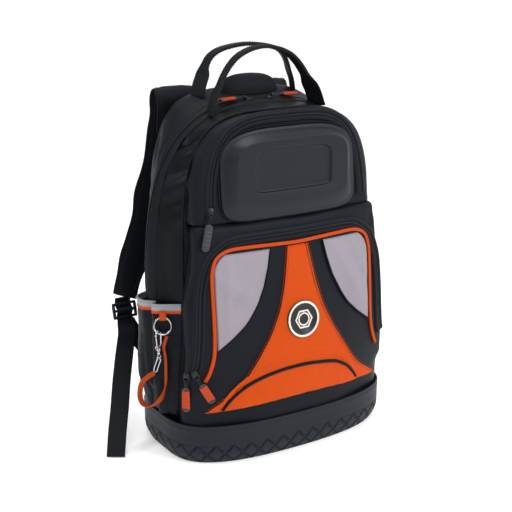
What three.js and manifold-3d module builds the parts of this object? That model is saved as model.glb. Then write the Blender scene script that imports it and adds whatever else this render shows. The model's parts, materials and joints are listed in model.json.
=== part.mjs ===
// Tool backpack with a moulded boot, a hard shell pocket, side tool pockets and two top handles.
// Millimetres, +Z up. The front faces -Y, and the origin is the centre of the boot's underside.
import * as THREE from 'three';
import { mergeVertices } from 'three/addons/utils/BufferGeometryUtils.js';
import Module from 'manifold-3d';

const wasm = await Module();
wasm.setup();

// Driving dimensions
const gap = 0.3; // between pieces that are sewn or seated on each other
const cloth = 2.4; // padded cloth of the compartments
const panelCloth = 1.5; // cloth panels sewn on the lower pocket
const bootWidth = 349;
const bootDepth = 185;
const bootBow = 15.5; // how far the middle of the boot's front stands ahead of its corners
const bootHeight = 57;
const bootWall = 3.2;
const bootFloor = 4;
const bootInset = 7.7; // the lower edge is rounded in by this much
const bootPower = 3.8; // squareness of the boot's plan
const bagHalf = 181; // half width at the main zip
const bagTop = 492;
const waist = 235; // height where the straight sides turn into the arch
const seamY = -37; // front seam of the main compartment
const zipY = 8; // main zip
const zipWidth = 8;
const backY = 88;
const pocketHalf = 164; // half width of the lower front pocket at its foot
const pocketTaper = 0.1; // the share of it that is lost towards the pocket's top
const pocketTop = 331;
const pocketCorner = 10;
const faceTop = 78; // the pocket's face stands this far ahead of the origin at its top
const faceSwell = 30; // and this much further at its foot
const faceBowTop = 9; // the face curves back at its sides by this much at the top
const faceBowFoot = 25;
const faceHalf = 130; // half width at which the bow is measured
const shellHalf = 107;
const shellFoot = 332;
const shellTop = 452;
const shellFace = 79;
const shellWall = 2.5;
const shellPower = 3.4; // roundness of the shell's upper corners
const shellFootPower = 7; // its lower corners are squarer
const recessWidth = 121;
const recessHeight = 57;
const recessDepth = 2.2;
const webbing = 26; // width of the handles' webbing
const webbingThick = 2.6;
const strapThick = 10;
const tailWidth = 26;
const tailThick = 1.8;
const badgeDiameter = 51;
const badgeThick = 2.4;
const sidePocketTop = 210;
const sidePocketFoot = 60;
const sidePocketCloth = 2;
const bandHeight = 10;
const pipingDiameter = 4.8;
const ringDiameter = 26;
const ringWire = 2.8;
const lanyardWidth = 7.5;
const lanyardThick = 2.4;

// Tables. Every length is a share of the size that its column follows.
// along: from the front seam to the back; half: of bagHalf; top: of bagTop
const bodySections = [
  { along: 0.0, foot: 0.895, half: 0.815, top: 0.955, power: 3.9 },
  { along: 0.2, foot: 0.95, half: 0.93, top: 0.962, power: 3.1 },
  { along: 0.36, foot: 0.96, half: 1.0, top: 0.972, power: 2.65 },
  { along: 0.56, foot: 0.965, half: 0.92, top: 0.988, power: 3.2 },
  { along: 0.74, foot: 0.935, half: 0.82, top: 1.0, power: 3.8 },
  { along: 0.9, foot: 0.86, half: 0.775, top: 0.992, power: 4.0 },
  { along: 1.0, foot: 0.75, half: 0.72, top: 0.965, power: 4.0 },
];
// depth: from the front seam to the face; half: of pocketHalf; top: of pocketTop
const lowerSections = [
  { depth: 0.0, half: 0.97, top: 0.99 },
  { depth: 0.27, half: 0.985, top: 0.995 },
  { depth: 0.55, half: 1.0, top: 1.0 },
  { depth: 0.82, half: 0.995, top: 1.0 },
  { depth: 1.0, half: 0.965, top: 0.988 },
];
// depth: from the front seam to the face; half: of bagHalf; top: of bagTop
const upperSections = [
  { depth: 0.0, half: 0.79, top: 0.952, power: 3.7 },
  { depth: 0.35, half: 0.8, top: 0.956, power: 3.6 },
  { depth: 0.7, half: 0.79, top: 0.957, power: 3.6 },
  { depth: 1.0, half: 0.74, top: 0.952, power: 3.7 },
];
// height: of pocketTop; inner: of faceHalf, the grey panel's inner edge
const greyEdge = [
  { height: 0.492, inner: 0.965 },
  { height: 0.51, inner: 0.905 },
  { height: 0.547, inner: 0.775 },
  { height: 0.6, inner: 0.63 },
  { height: 0.65, inner: 0.54 },
  { height: 0.734, inner: 0.427 },
  { height: 0.81, inner: 0.365 },
  { height: 0.886, inner: 0.323 },
];
// height: of pocketTop; half: of faceHalf, the orange panel's edge
const orangeEdge = [
  { height: 0.226, half: 1.1 },
  { height: 0.25, half: 1.01 },
  { height: 0.28, half: 0.9 },
  { height: 0.311, half: 0.775 },
  { height: 0.363, half: 0.665 },
  { height: 0.438, half: 0.53 },
  { height: 0.529, half: 0.38 },
  { height: 0.625, half: 0.262 },
  { height: 0.728, half: 0.185 },
  { height: 0.82, half: 0.142 },
  { height: 0.886, half: 0.113 },
];
// out: of pipingHalf; up: of the piping's rise, the route of the zip beside it
const lowerZipEdge = [
  { out: 1.2, up: 0.09 },
  { out: 1.178, up: 0.15 },
  { out: 1.155, up: 0.31 },
  { out: 1.14, up: 0.52 },
  { out: 1.116, up: 0.72 },
  { out: 1.07, up: 0.84 },
  { out: 1.01, up: 0.935 },
  { out: 0.91, up: 1.0 },
  { out: 0.77, up: 1.05 },
  { out: 0.5, up: 1.062 },
  { out: 0.0, up: 1.062 },
];
// out: of the handle's half width; up: of its rise above the bag
const rearHandleRoute = [
  { out: 1.0, up: 0.0 },
  { out: 0.97, up: 0.2 },
  { out: 0.9, up: 0.42 },
  { out: 0.85, up: 0.6 },
  { out: 0.75, up: 0.78 },
  { out: 0.58, up: 0.9 },
  { out: 0.32, up: 0.97 },
];
const frontHandleRoute = [
  { out: 1.0, up: 0.0 },
  { out: 0.91, up: 0.26 },
  { out: 0.81, up: 0.43 },
  { out: 0.73, up: 0.58 },
  { out: 0.61, up: 0.74 },
  { out: 0.46, up: 0.87 },
  { out: 0.24, up: 0.965 },
];

// Small maths
const lerp = THREE.MathUtils.lerp;
const smooth = THREE.MathUtils.smoothstep;
const V = (x, y, z) => new THREE.Vector3(x, y, z);
const signedPower = (v, p) => Math.sign(v) * Math.abs(v) ** p;

// A row worked out between the rows of a table whose first column holds at
function sample(table, key, at) {
  const last = table.length - 1;
  let i = 0;
  while (i < last - 1 && at > table[i + 1][key]) i += 1;
  const a = table[i];
  const b = table[i + 1];
  const t = THREE.MathUtils.clamp((at - a[key]) / (b[key] - a[key]), 0, 1);
  const row = {};
  for (const name of Object.keys(a)) row[name] = lerp(a[name], b[name], t);
  return row;
}

// Turns a geometry so that its faces point out
function faceOut(geometry) {
  const p = geometry.attributes.position;
  const index = geometry.index.array;
  const [a, b, c] = [V(0, 0, 0), V(0, 0, 0), V(0, 0, 0)];
  let volume = 0;
  for (let i = 0; i < index.length; i += 3) {
    a.fromBufferAttribute(p, index[i]);
    b.fromBufferAttribute(p, index[i + 1]);
    c.fromBufferAttribute(p, index[i + 2]);
    volume += a.dot(b.cross(c));
  }
  if (volume < 0) {
    for (let i = 0; i < index.length; i += 3) {
      [index[i + 1], index[i + 2]] = [index[i + 2], index[i + 1]];
    }
  }
  geometry.computeVertexNormals();
  return geometry;
}

function indexed(points, index) {
  const geometry = new THREE.BufferGeometry();
  geometry.setAttribute('position', new THREE.Float32BufferAttribute(points.flatMap((p) => [p.x, p.y, p.z]), 3));
  geometry.setIndex(index);
  return faceOut(geometry);
}

// A closed body through rings of as many points each. A ring of one point closes an end.
function loft(rings) {
  const starts = [];
  const points = [];
  for (const ring of rings) {
    starts.push(points.length);
    points.push(...ring);
  }
  const index = [];
  for (let r = 0; r < rings.length - 1; r += 1) {
    const [a, b] = [rings[r].length, rings[r + 1].length];
    const [sa, sb] = [starts[r], starts[r + 1]];
    const n = Math.max(a, b);
    for (let i = 0; i < n; i += 1) {
      const j = (i + 1) % n;
      if (a === 1) index.push(sa, sb + j, sb + i);
      else if (b === 1) index.push(sa + i, sa + j, sb);
      else index.push(sa + i, sa + j, sb + j, sa + i, sb + j, sb + i);
    }
  }
  return indexed(points, index);
}

// A cloth sheet between two grids of points, front and back, given as rows
function sheet(front, back) {
  const rows = front.length;
  const cols = front[0].length;
  const points = [...front.flat(), ...back.flat()];
  const F = (r, c) => r * cols + c;
  const B = (r, c) => rows * cols + r * cols + c;
  const index = [];
  const quad = (a, b, c, d) => index.push(a, b, c, a, c, d);
  const [R, C] = [rows - 1, cols - 1];
  for (let r = 0; r < R; r += 1) {
    for (let c = 0; c < C; c += 1) {
      quad(F(r, c), F(r, c + 1), F(r + 1, c + 1), F(r + 1, c));
      quad(B(r, c), B(r + 1, c), B(r + 1, c + 1), B(r, c + 1));
    }
    quad(F(r, 0), F(r + 1, 0), B(r + 1, 0), B(r, 0));
    quad(F(r + 1, C), F(r, C), B(r, C), B(r + 1, C));
  }
  for (let c = 0; c < C; c += 1) {
    quad(F(0, c + 1), F(0, c), B(0, c), B(0, c + 1));
    quad(F(R, c), F(R, c + 1), B(R, c + 1), B(R, c));
  }
  return indexed(points, index);
}

// A strip of a flat section along stations of { at, across, normal, width, thick }
function ribbonRings(stations, sides = 4) {
  const section = [];
  for (let i = 0; i < sides; i += 1) {
    if (sides === 4) {
      section.push([[1, 1], [-1, 1], [-1, -1], [1, -1]][i]);
    } else {
      const a = (2 * Math.PI * (i + 0.5)) / sides;
      section.push([signedPower(Math.cos(a), 0.3) / 0.97, signedPower(Math.sin(a), 0.6)]);
    }
  }
  const rings = stations.map(({ at, across, normal, width, thick }) => section.map(([u, v]) => at.clone()
    .addScaledVector(across, (u * width) / 2).addScaledVector(normal, (v * thick) / 2)));
  return [[stations[0].at.clone()], ...rings, [stations.at(-1).at.clone()]];
}

const ribbon = (stations, sides) => loft(ribbonRings(stations, sides));

// Stations along a smooth curve through points, each with its own direction across
function alongCurve(points, steps, width, thick, acrossAt) {
  const curve = new THREE.CatmullRomCurve3(points, false, 'centripetal');
  const stations = [];
  for (let i = 0; i <= steps; i += 1) {
    const t = i / steps;
    const tangent = curve.getTangentAt(t);
    const across = acrossAt(t).clone();
    across.addScaledVector(tangent, -across.dot(tangent)).normalize();
    const normal = new THREE.Vector3().crossVectors(tangent, across).normalize();
    stations.push({
      at: curve.getPointAt(t),
      across,
      normal,
      width: typeof width === 'function' ? width(t) : width,
      thick: typeof thick === 'function' ? thick(t) : thick,
    });
  }
  return stations;
}

// Booleans
function manifoldOf(geometry) {
  const bare = geometry.clone();
  bare.deleteAttribute('normal');
  bare.deleteAttribute('uv');
  const merged = mergeVertices(bare, 1e-4);
  const position = merged.attributes.position.array;
  return new wasm.Manifold(new wasm.Mesh({
    numProp: 3,
    vertProperties: new Float32Array(position),
    triVerts: new Uint32Array(merged.index.array),
  }));
}

function geometryOf(manifold) {
  const { vertProperties, triVerts } = manifold.getMesh();
  const geometry = new THREE.BufferGeometry();
  geometry.setAttribute('position', new THREE.Float32BufferAttribute(vertProperties, 3));
  geometry.setIndex(Array.from(triVerts));
  geometry.computeVertexNormals();
  return geometry;
}

const join = (...parts) => geometryOf(parts.map(manifoldOf).reduce((a, b) => a.add(b)));
const cut = (a, ...parts) => geometryOf(parts.map(manifoldOf).reduce((m, b) => m.subtract(b), manifoldOf(a)));

// The boot's plan
const bootSteps = 44;

function bootEdge(height) {
  const rise = Math.min(1, height / (3 * bootInset));
  return bootInset * (1 - rise) ** 2;
}

// A point of the superellipse with half widths a and b, seen at an angle from its middle
function superPoint(angle, a, b, power) {
  const c = Math.cos(angle);
  const s = Math.sin(angle);
  const reach = ((Math.abs(c) / a) ** power + (Math.abs(s) / b) ** power) ** (-1 / power);
  return [reach * c, reach * s];
}

// The boot's outline at an inset from its widest, as flat-sided as it is built
function bootOutline(inset) {
  const a = bootWidth / 2 - inset;
  const b = bootDepth / 2 - inset;
  const outline = [];
  for (let i = 0; i < bootSteps; i += 1) {
    const turn = (2 * Math.PI * (i + 0.5)) / bootSteps;
    const angle = Math.atan2(bootDepth * Math.sin(turn), bootWidth * Math.cos(turn));
    const [x, y] = superPoint(angle, a, b, bootPower);
    outline.push([x, y < 0 ? y - bootBow * (1 - (x / a) ** 2) : y]);
  }
  return outline;
}

// Moves a point of the bag inside the boot, and lets it swell out above the rim
function tuck(point, inset) {
  const outline = bootOutline(bootWall + gap + inset + bootEdge(point.z));
  const swell = 1 + 0.25 * smooth(point.z, 1.45 * bootHeight, 2.8 * bootHeight);
  let reach = 0;
  for (let i = 0; i < bootSteps; i += 1) {
    const [x0, y0] = outline[i];
    const [x1, y1] = outline[(i + 1) % bootSteps];
    const across = x0 * y1 - x1 * y0;
    reach = Math.max(reach, (point.x * (y1 - y0) - point.y * (x1 - x0)) / across);
  }
  const scale = Math.min(1, swell / reach);
  return V(point.x * scale, point.y * scale, point.z);
}

// The main compartment
const bodyFoot = bootFloor + gap;

function bodySection(y) {
  const row = sample(bodySections, 'along', (y - seamY) / (backY - seamY));
  return { foot: row.foot * bagHalf, half: row.half * bagHalf, top: row.top * bagTop, power: row.power };
}

// Where the straight side of the body stands, as flat-sided as it is built
const sideSteps = 6;
const sideLevel = (i) => lerp(bodyFoot, waist, (i / sideSteps) ** 1.4);
const sideHalf = ({ foot, half }, i) => lerp(foot, half, smooth(sideLevel(i), bodyFoot, waist));

function bodySideAt(y, z) {
  let i = 0;
  while (i < sideSteps - 1 && z > sideLevel(i + 1)) i += 1;
  const section = bodySection(y);
  const [low, high] = [i, i + 1].map((k) => tuck(V(sideHalf(section, k), y, sideLevel(k)), 0));
  return low.lerp(high, (z - low.z) / (high.z - low.z));
}

function bodyTopAt(x, y) {
  const { half, top, power } = bodySection(y);
  return waist + (top - waist) * (1 - (Math.abs(x) / half) ** power) ** (1 / power);
}

// An arch outline from foot up, over the top and down, then back along the foot
// Straight sides from the foot up to the turn, and an arch above them
function archOutline({ foot, half, low, turn, top, power, sides, crownSteps, footSteps }) {
  const outline = [];
  for (let i = 0; i <= sides; i += 1) {
    const z = lerp(low, turn, (i / sides) ** 1.4);
    outline.push([lerp(foot, half, smooth(z, low, turn)), z]);
  }
  for (let i = 1; i < crownSteps; i += 1) {
    const a = (Math.PI * i) / crownSteps;
    outline.push([half * signedPower(Math.cos(a), 2 / power), turn + (top - turn) * Math.sin(a) ** (2 / power)]);
  }
  outline.push(...outline.slice(0, sides + 1).reverse().map(([x, z]) => [-x, z]));
  for (let i = 1; i < footSteps; i += 1) outline.push([lerp(-foot, foot, i / footSteps), low]);
  return outline;
}

function bodyRing(y, inset, trim = 0) {
  const { foot, half, top, power } = bodySection(y);
  const less = inset + trim;
  return archOutline({
    foot: foot - less,
    half: half - less,
    low: bodyFoot + inset,
    turn: waist,
    top: top - less,
    power,
    sides: sideSteps,
    crownSteps: 16,
    footSteps: 4,
  }).map(([x, z]) => tuck(V(x, y, z), inset));
}

const roundEdge = 3;

function mainRear() {
  const mouth = zipY + zipWidth / 2;
  const outer = [0, 0.25, 0.5, 0.74, 0.92].map((s) => lerp(mouth, backY, s));
  const middle = V(0, 0, (bodyFoot + bagTop) / 2);
  return loft([
    ...outer.map((y) => bodyRing(y, 0)),
    bodyRing(backY, 0, roundEdge),
    [V(0, backY, middle.z)],
  ].reverse().concat([
    ...outer.map((y) => bodyRing(y, cloth)),
    bodyRing(backY - cloth, cloth, roundEdge),
    [V(0, backY - cloth, middle.z)],
  ]));
}

function mainFront() {
  const mouth = zipY - zipWidth / 2;
  const outer = [mouth, lerp(mouth, seamY, 0.4), lerp(mouth, seamY, 0.8)];
  const middle = (bodyFoot + bagTop) / 2;
  return loft([
    ...outer.map((y) => bodyRing(y, 0)),
    bodyRing(seamY, 0),
    [V(0, seamY, middle)],
  ].reverse().concat([
    ...outer.map((y) => bodyRing(y, cloth)),
    bodyRing(seamY + cloth, cloth),
    [V(0, seamY + cloth, middle)],
  ]));
}

// The lower front pocket's face
function faceY(x, z) {
  const down = THREE.MathUtils.clamp((pocketTop - z) / (pocketTop - bootHeight), 0, 1.2);
  const ahead = faceTop + faceSwell * Math.sin((Math.PI / 2) * Math.min(1, down));
  return tuck(V(x, -ahead + lerp(faceBowTop, faceBowFoot, down) * (x / faceHalf) ** 2, z), 0).y;
}

// The pocket's half width at a height, as a share of the one at its foot
const pocketShare = (z) => 1 - pocketTaper * smooth(z, 0.35 * pocketTop, pocketTop);
const lowerSides = 6;
const cornerSteps = 2;

function lowerRing(depth, half, top, inset) {
  const foot = bodyFoot + inset;
  const turn = top - pocketCorner - inset;
  const peak = top - inset;
  const corner = pocketCorner;
  const outline = [];
  const wideAt = (z) => half * pocketShare(z) - inset;
  for (let i = 0; i <= lowerSides; i += 1) {
    const z = lerp(foot, turn, (i / lowerSides) ** 1.3);
    outline.push([wideAt(z), z]);
  }
  for (let i = 1; i <= cornerSteps; i += 1) {
    const a = (Math.PI / 2) * (i / cornerSteps);
    outline.push([wideAt(turn) - corner + corner * Math.cos(a), turn + corner * Math.sin(a)]);
  }
  for (let i = 1; i < 3; i += 1) outline.push([lerp(1, 0, i / 3) * (wideAt(turn) - corner), peak]);
  const left = outline.map(([x, z]) => [-x, z]).reverse();
  outline.push([0, peak], ...left);
  for (let i = 1; i < 6; i += 1) outline.push([lerp(-1, 1, i / 6) * wideAt(foot), foot]);
  const rear = seamY - 2 * gap;
  return outline.map(([x, z]) => tuck(V(x, lerp(rear, faceY(x, z) + inset, depth), z), inset));
}

// Rings drawn in towards the middle of a face
function faceRings(ring, middle, shares, yAt, inset) {
  return shares.map((share) => ring.map((p) => {
    const x = lerp(middle.x, p.x, share);
    const z = lerp(middle.z, p.z, share);
    return tuck(V(x, yAt(x, z) + inset, z), inset);
  }));
}

function lowerPocket() {
  const rows = lowerSections;
  const ringOf = (row, inset) => lowerRing(row.depth, row.half * pocketHalf, row.top * pocketTop, inset);
  const middle = V(0, 0, lerp(bodyFoot, pocketTop, 0.5));
  const faceOf = (inset) => {
    const edge = ringOf(rows.at(-1), inset);
    return [
      ...faceRings(edge, middle, [0.8, 0.55, 0.25], faceY, inset),
      [V(0, faceY(0, middle.z) + inset, middle.z)],
    ];
  };
  const outer = [...rows.map((row) => ringOf(row, 0)), ...faceOf(0)];
  const inner = [...rows.map((row) => ringOf(row, cloth)), ...faceOf(cloth)];
  return loft([...outer.reverse(), ...inner]);
}

// The upper pocket, behind the hard shell
const upperBow = 5;

function upperFaceY(x, z) {
  const up = (z - pocketTop) / (shellTop - pocketTop);
  return -lerp(faceTop - 6, faceTop - 17, up) + upperBow * (x / shellHalf) ** 2;
}

const upperFoot = pocketTop + 2 * gap;

function upperRing(row, inset) {
  const half = row.half * bagHalf - inset;
  const top = row.top * bagTop - inset;
  const foot = upperFoot + inset;
  const turn = 0.9 * pocketTop;
  const outline = [];
  const start = Math.asin(((foot - turn) / (top - turn)) ** (row.power / 2));
  for (let i = 0; i <= 22; i += 1) {
    const a = lerp(start, Math.PI - start, i / 22);
    const x = half * signedPower(Math.cos(a), 2 / row.power);
    outline.push([x, turn + (top - turn) * Math.sin(a) ** (2 / row.power)]);
  }
  const footHalf = outline[0][0];
  for (let i = 1; i < 6; i += 1) outline.push([lerp(-footHalf, footHalf, i / 6), foot]);
  const rear = seamY - 2 * gap;
  return outline.map(([x, z]) => V(x, lerp(rear, upperFaceY(x, z) + inset, row.depth), z));
}

function upperPocket() {
  const middle = V(0, 0, lerp(upperFoot, bagTop, 0.36));
  const faceOf = (inset) => {
    const edge = upperRing(upperSections.at(-1), inset);
    return [
      ...faceRings(edge, middle, [0.6], upperFaceY, inset),
      [V(0, upperFaceY(0, middle.z) + inset, middle.z)],
    ];
  };
  const outer = [...upperSections.map((row) => upperRing(row, 0)), ...faceOf(0)];
  const inner = [...upperSections.map((row) => upperRing(row, cloth)), ...faceOf(cloth)];
  return loft([...outer.reverse(), ...inner]);
}

// The hard shell, a moulded dish with chamfers and a bare recessed panel
const shellSteps = 32;
const shellRim = 4; // its edge stands off the cloth by this much
const chamferSide = 19;
const chamferFoot = 24;
const chamferTop = 14;
const recessPower = 5.8;
const recessSlope = 1.5;

function shellRing(half, foot, top, power, yAt) {
  const middle = (foot + top) / 2;
  const rise = (top - foot) / 2;
  const ring = [];
  for (let i = 0; i < shellSteps; i += 1) {
    const a = (2 * Math.PI * (i + 0.5)) / shellSteps;
    const squareness = i < shellSteps / 2 ? power : power * (shellFootPower / shellPower);
    const [x, up] = superPoint(a, half, rise, squareness);
    ring.push(V(x, yAt(x, middle + up), middle + up));
  }
  return ring;
}

function hardShell() {
  const seat = (x, z) => upperFaceY(x, z) - gap;
  const rim = (x, z) => seat(x, z) - shellRim;
  const face = (x) => -shellFace + 2 * (x / shellHalf) ** 2;
  const faceFoot = shellFoot + chamferFoot;
  const faceTopEdge = shellTop - chamferTop;
  const facePower = 1.3 * shellPower;
  const recessFoot = (faceFoot + faceTopEdge) / 2 - recessHeight / 2;
  const recessTop = recessFoot + recessHeight;
  const recessHalf = recessWidth / 2;
  const sunk = (x) => face(x) + recessDepth;
  const middle = recessFoot + recessHeight / 2;
  const outer = [
    shellRing(shellHalf, shellFoot, shellTop, shellPower, seat),
    shellRing(shellHalf, shellFoot, shellTop, shellPower, rim),
    shellRing(shellHalf - chamferSide, faceFoot, faceTopEdge, facePower, face),
    shellRing(recessHalf, recessFoot, recessTop, recessPower, face),
    shellRing(recessHalf - recessSlope, recessFoot + recessSlope, recessTop - recessSlope, recessPower, sunk),
    [V(0, face(0) + recessDepth, middle)],
  ];
  const t = shellWall;
  const inner = [
    shellRing(shellHalf - t, shellFoot + t, shellTop - t, shellPower, seat),
    shellRing(shellHalf - t, shellFoot + t, shellTop - t, shellPower, (x, z) => rim(x, z) + 0.8),
    shellRing(shellHalf - chamferSide - 1, faceFoot + 1, faceTopEdge - 1, facePower, (x) => sunk(x) + t),
    [V(0, face(0) + t + recessDepth, middle)],
  ];
  return loft([...outer.reverse(), ...inner]);
}

// Boot
function bootSolid() {
  const ring = (inset, height) => bootOutline(inset).map(([x, y]) => V(x, y, height));
  const heights = [0, 0.09 * bootHeight, 0.22 * bootHeight, 0.42 * bootHeight, bootHeight];
  const inside = [bootFloor, 0.22 * bootHeight, 0.42 * bootHeight, bootHeight];
  const outer = heights.map((h) => ring(bootEdge(h), h));
  const inner = inside.map((h) => ring(bootEdge(h) + bootWall, h));
  return loft([[V(0, 0, 0)], ...outer, ...inner.reverse(), [V(0, 0, bootFloor)]]);
}

// Panels on the pocket's face. Each row runs between two half widths at one height.
function facePatch(rows, columns, lift, thick, heightAt = (x, z) => z) {
  const grid = (out) => rows.map(({ left, right, z }) => {
    const points = [];
    for (let c = 0; c <= columns; c += 1) {
      const x = lerp(left, right, c / columns);
      const height = heightAt(x, z);
      points.push(V(x, faceY(x, height) - out, height));
    }
    return points;
  });
  return sheet(grid(lift + thick), grid(lift));
}

const pipingTop = 299;
const pipingHalf = 129;
const panelMargin = pipingDiameter / 2 + 1;

function greyPanel(side) {
  const rows = greyEdge.map(({ height, inner }) => {
    const z = height * pocketTop;
    const corner = 30;
    const over = Math.max(0, z - (pipingTop - panelMargin - corner));
    const outerEdge = pipingHalf - panelMargin - corner + Math.sqrt(corner ** 2 - over ** 2);
    return { left: side * outerEdge, right: side * Math.min(inner * faceHalf, outerEdge - 0.5), z };
  });
  return facePatch(rows, 4, 2 * gap, panelCloth);
}

// The foot of the orange panel bows up in the middle
const footRise = 9;
const footSide = orangeEdge[0].half * faceHalf;
const footAt = (x) => orangeEdge[0].height * pocketTop + footRise * (1 - (x / footSide) ** 2);

function orangePanel() {
  const rows = orangeEdge.map(({ height, half }) => ({
    left: -half * faceHalf, right: half * faceHalf, z: height * pocketTop,
  }));
  return facePatch(rows, 10, 2 * gap, panelCloth, (x, z) => Math.max(z, Math.min(footAt(x), z + footRise)));
}

// The arched pocket at the foot of the orange panel stands proud of it
const archCentre = -11;
const archHalf = 110;
const archFoot = 79;
const archRise = 48;

function archPocket() {
  const rows = [];
  for (let i = 0; i <= 5; i += 1) {
    const rise = Math.sin((Math.PI / 2) * (i / 5.2));
    const half = archHalf * (1 - rise ** (1 / 0.75)) ** (1 / 2.6);
    rows.push({ left: archCentre - half, right: archCentre + half, z: archFoot + archRise * rise });
  }
  const lift = 5 * gap + panelCloth;
  return facePatch(rows, 10, lift, panelCloth + 1, (x, z) => Math.max(z, Math.min(footAt(x), z + footRise)));
}

// Piping round the face of the lower pocket
const pipingFoot = 122;

function pipingRoute() {
  const half = [];
  const radius = 28;
  half.push([pipingHalf + 14, pipingFoot], [pipingHalf + 8, pipingFoot + 12], [pipingHalf + 2, pipingFoot + 33]);
  half.push([pipingHalf, pipingFoot + 62], [pipingHalf, pipingTop - radius - 22], [pipingHalf - 1, pipingTop - radius]);
  half.push([pipingHalf - 8, pipingTop - 10], [pipingHalf - 26, pipingTop - 1], [70, pipingTop], [35, pipingTop - 1]);
  return [...half, [0, pipingTop - 2], ...half.reverse().map(([x, z]) => [-x, z])];
}

function tubeAlong(points, diameter, sides, steps) {
  const shape = new THREE.Shape();
  for (let i = 0; i <= sides; i += 1) {
    const a = (2 * Math.PI * i) / sides;
    const at = [(diameter / 2) * Math.cos(a), (diameter / 2) * Math.sin(a)];
    if (i === 0) shape.moveTo(...at);
    else if (i < sides) shape.lineTo(...at);
  }
  const path = new THREE.CatmullRomCurve3(points, false, 'centripetal');
  return new THREE.ExtrudeGeometry(shape, { steps, extrudePath: path, curveSegments: 1 });
}

function piping() {
  const lift = pipingDiameter / 2 + gap;
  return tubeAlong(pipingRoute().map(([x, z]) => V(x, faceY(x, z) - lift, z)), pipingDiameter, 6, 36);
}

// Zips
const zipSteps = 24;

function mainZip() {
  const section = bodySection(zipY);
  const { half, top, power } = section;
  const start = bodySideAt(zipY, 1.25 * bootHeight);
  const levels = [sideSteps - 3, sideSteps - 2, sideSteps - 1, sideSteps];
  const rise = [start, ...levels.map((i) => tuck(V(sideHalf(section, i), zipY, sideLevel(i)), 0))];
  const crown = [];
  for (let i = 1; i < zipSteps; i += 1) {
    const a = (Math.PI * i) / zipSteps;
    const x = half * signedPower(Math.cos(a), 2 / power);
    crown.push(V(x, zipY, waist + (top - waist) * Math.sin(a) ** (2 / power)));
  }
  const route = [...rise, ...crown, ...rise.map((p) => V(-p.x, p.y, p.z)).reverse()];
  const stations = route.map((p, i) => {
    const before = route[Math.max(0, i - 1)];
    const after = route[Math.min(route.length - 1, i + 1)];
    const tangent = V(after.x - before.x, 0, after.z - before.z).normalize();
    const normal = V(tangent.z, 0, -tangent.x);
    const at = p.clone().addScaledVector(normal, -1.4);
    return { at, across: V(0, 1, 0), normal, width: zipWidth - 2 * gap, thick: 2.2 };
  });
  return ribbon(stations);
}

// A flat band on a face, along a route of points { x, z }
function faceBand(route, width, thick, yAt) {
  const front = [];
  const back = [];
  for (let i = 0; i < route.length; i += 1) {
    const before = route[Math.max(0, i - 1)];
    const after = route[Math.min(route.length - 1, i + 1)];
    const length = Math.hypot(after.x - before.x, after.z - before.z);
    const normal = { x: (after.z - before.z) / length, z: -(after.x - before.x) / length };
    const row = (out) => [-0.5, 0.5].map((share) => {
      const x = route[i].x + share * width * normal.x;
      const z = route[i].z + share * width * normal.z;
      return V(x, yAt(x, z) - out, z);
    });
    front.push(row(gap + thick));
    back.push(row(gap));
  }
  return sheet(front, back);
}

const upperZipBeside = 15; // from the shell's side to the zip
const upperZipAbove = 13;

function upperZipRoute() {
  const half = shellHalf + upperZipBeside;
  const top = shellTop + upperZipAbove;
  const turn = 0.9 * pocketTop;
  const power = 3.7;
  const start = Math.asin(((shellFoot + 14 - turn) / (top - turn)) ** (power / 2));
  const route = [];
  for (let i = 0; i <= 26; i += 1) {
    const a = lerp(Math.PI - start, start, i / 26);
    route.push({ x: half * signedPower(Math.cos(a), 2 / power), z: turn + (top - turn) * Math.sin(a) ** (2 / power) });
  }
  return route;
}

function lowerZipRoute() {
  const points = lowerZipEdge.map(({ out, up }) => new THREE.Vector2(
    -out * pipingHalf,
    lerp(pipingFoot, pipingTop, up),
  ));
  const mirrored = points.slice(0, -1).reverse().map(({ x, y }) => new THREE.Vector2(-x, y));
  const curve = new THREE.SplineCurve([...points, ...mirrored]);
  return curve.getSpacedPoints(30).map(({ x, y }) => ({ x, z: y }));
}

// Sliders and pulls. Each is drawn in its own frame: the pull points along +X from the pin, the bag's
// surface is the plane z = 0 below it, and the slider's body lies behind the pin.
const pinHeight = 4.9;
const pinDiameter = 1.6;
const eyeDiameter = 4.4;
const eyeWidth = 3.2;
const pinPlay = 0.35;
const sliderLength = 12;
const sliderWidth = 9;
const sliderThick = 2.2;
const cheekThick = 1.2;

const box = (x0, x1, y0, y1, z0, z1) => new THREE.BoxGeometry(x1 - x0, y1 - y0, z1 - z0)
  .translate((x0 + x1) / 2, (y0 + y1) / 2, (z0 + z1) / 2);

function rod(diameter, length, sides = 12) {
  return new THREE.CylinderGeometry(diameter / 2, diameter / 2, length, sides);
}

function sliderSolid() {
  const reach = eyeWidth / 2 + gap;
  const cheek = (side) => {
    const [near, far] = [side * reach, side * (reach + cheekThick)];
    return box(-3, 1.4, Math.min(near, far), Math.max(near, far), sliderThick / 2, pinHeight + 1.2);
  };
  const pin = rod(pinDiameter, 2 * (reach + cheekThick / 2)).translate(0, 0, pinHeight);
  const body = box(-sliderLength, 1.6, -sliderWidth / 2, sliderWidth / 2, 0, sliderThick);
  return join(body, cheek(1), cheek(-1), pin);
}

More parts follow.
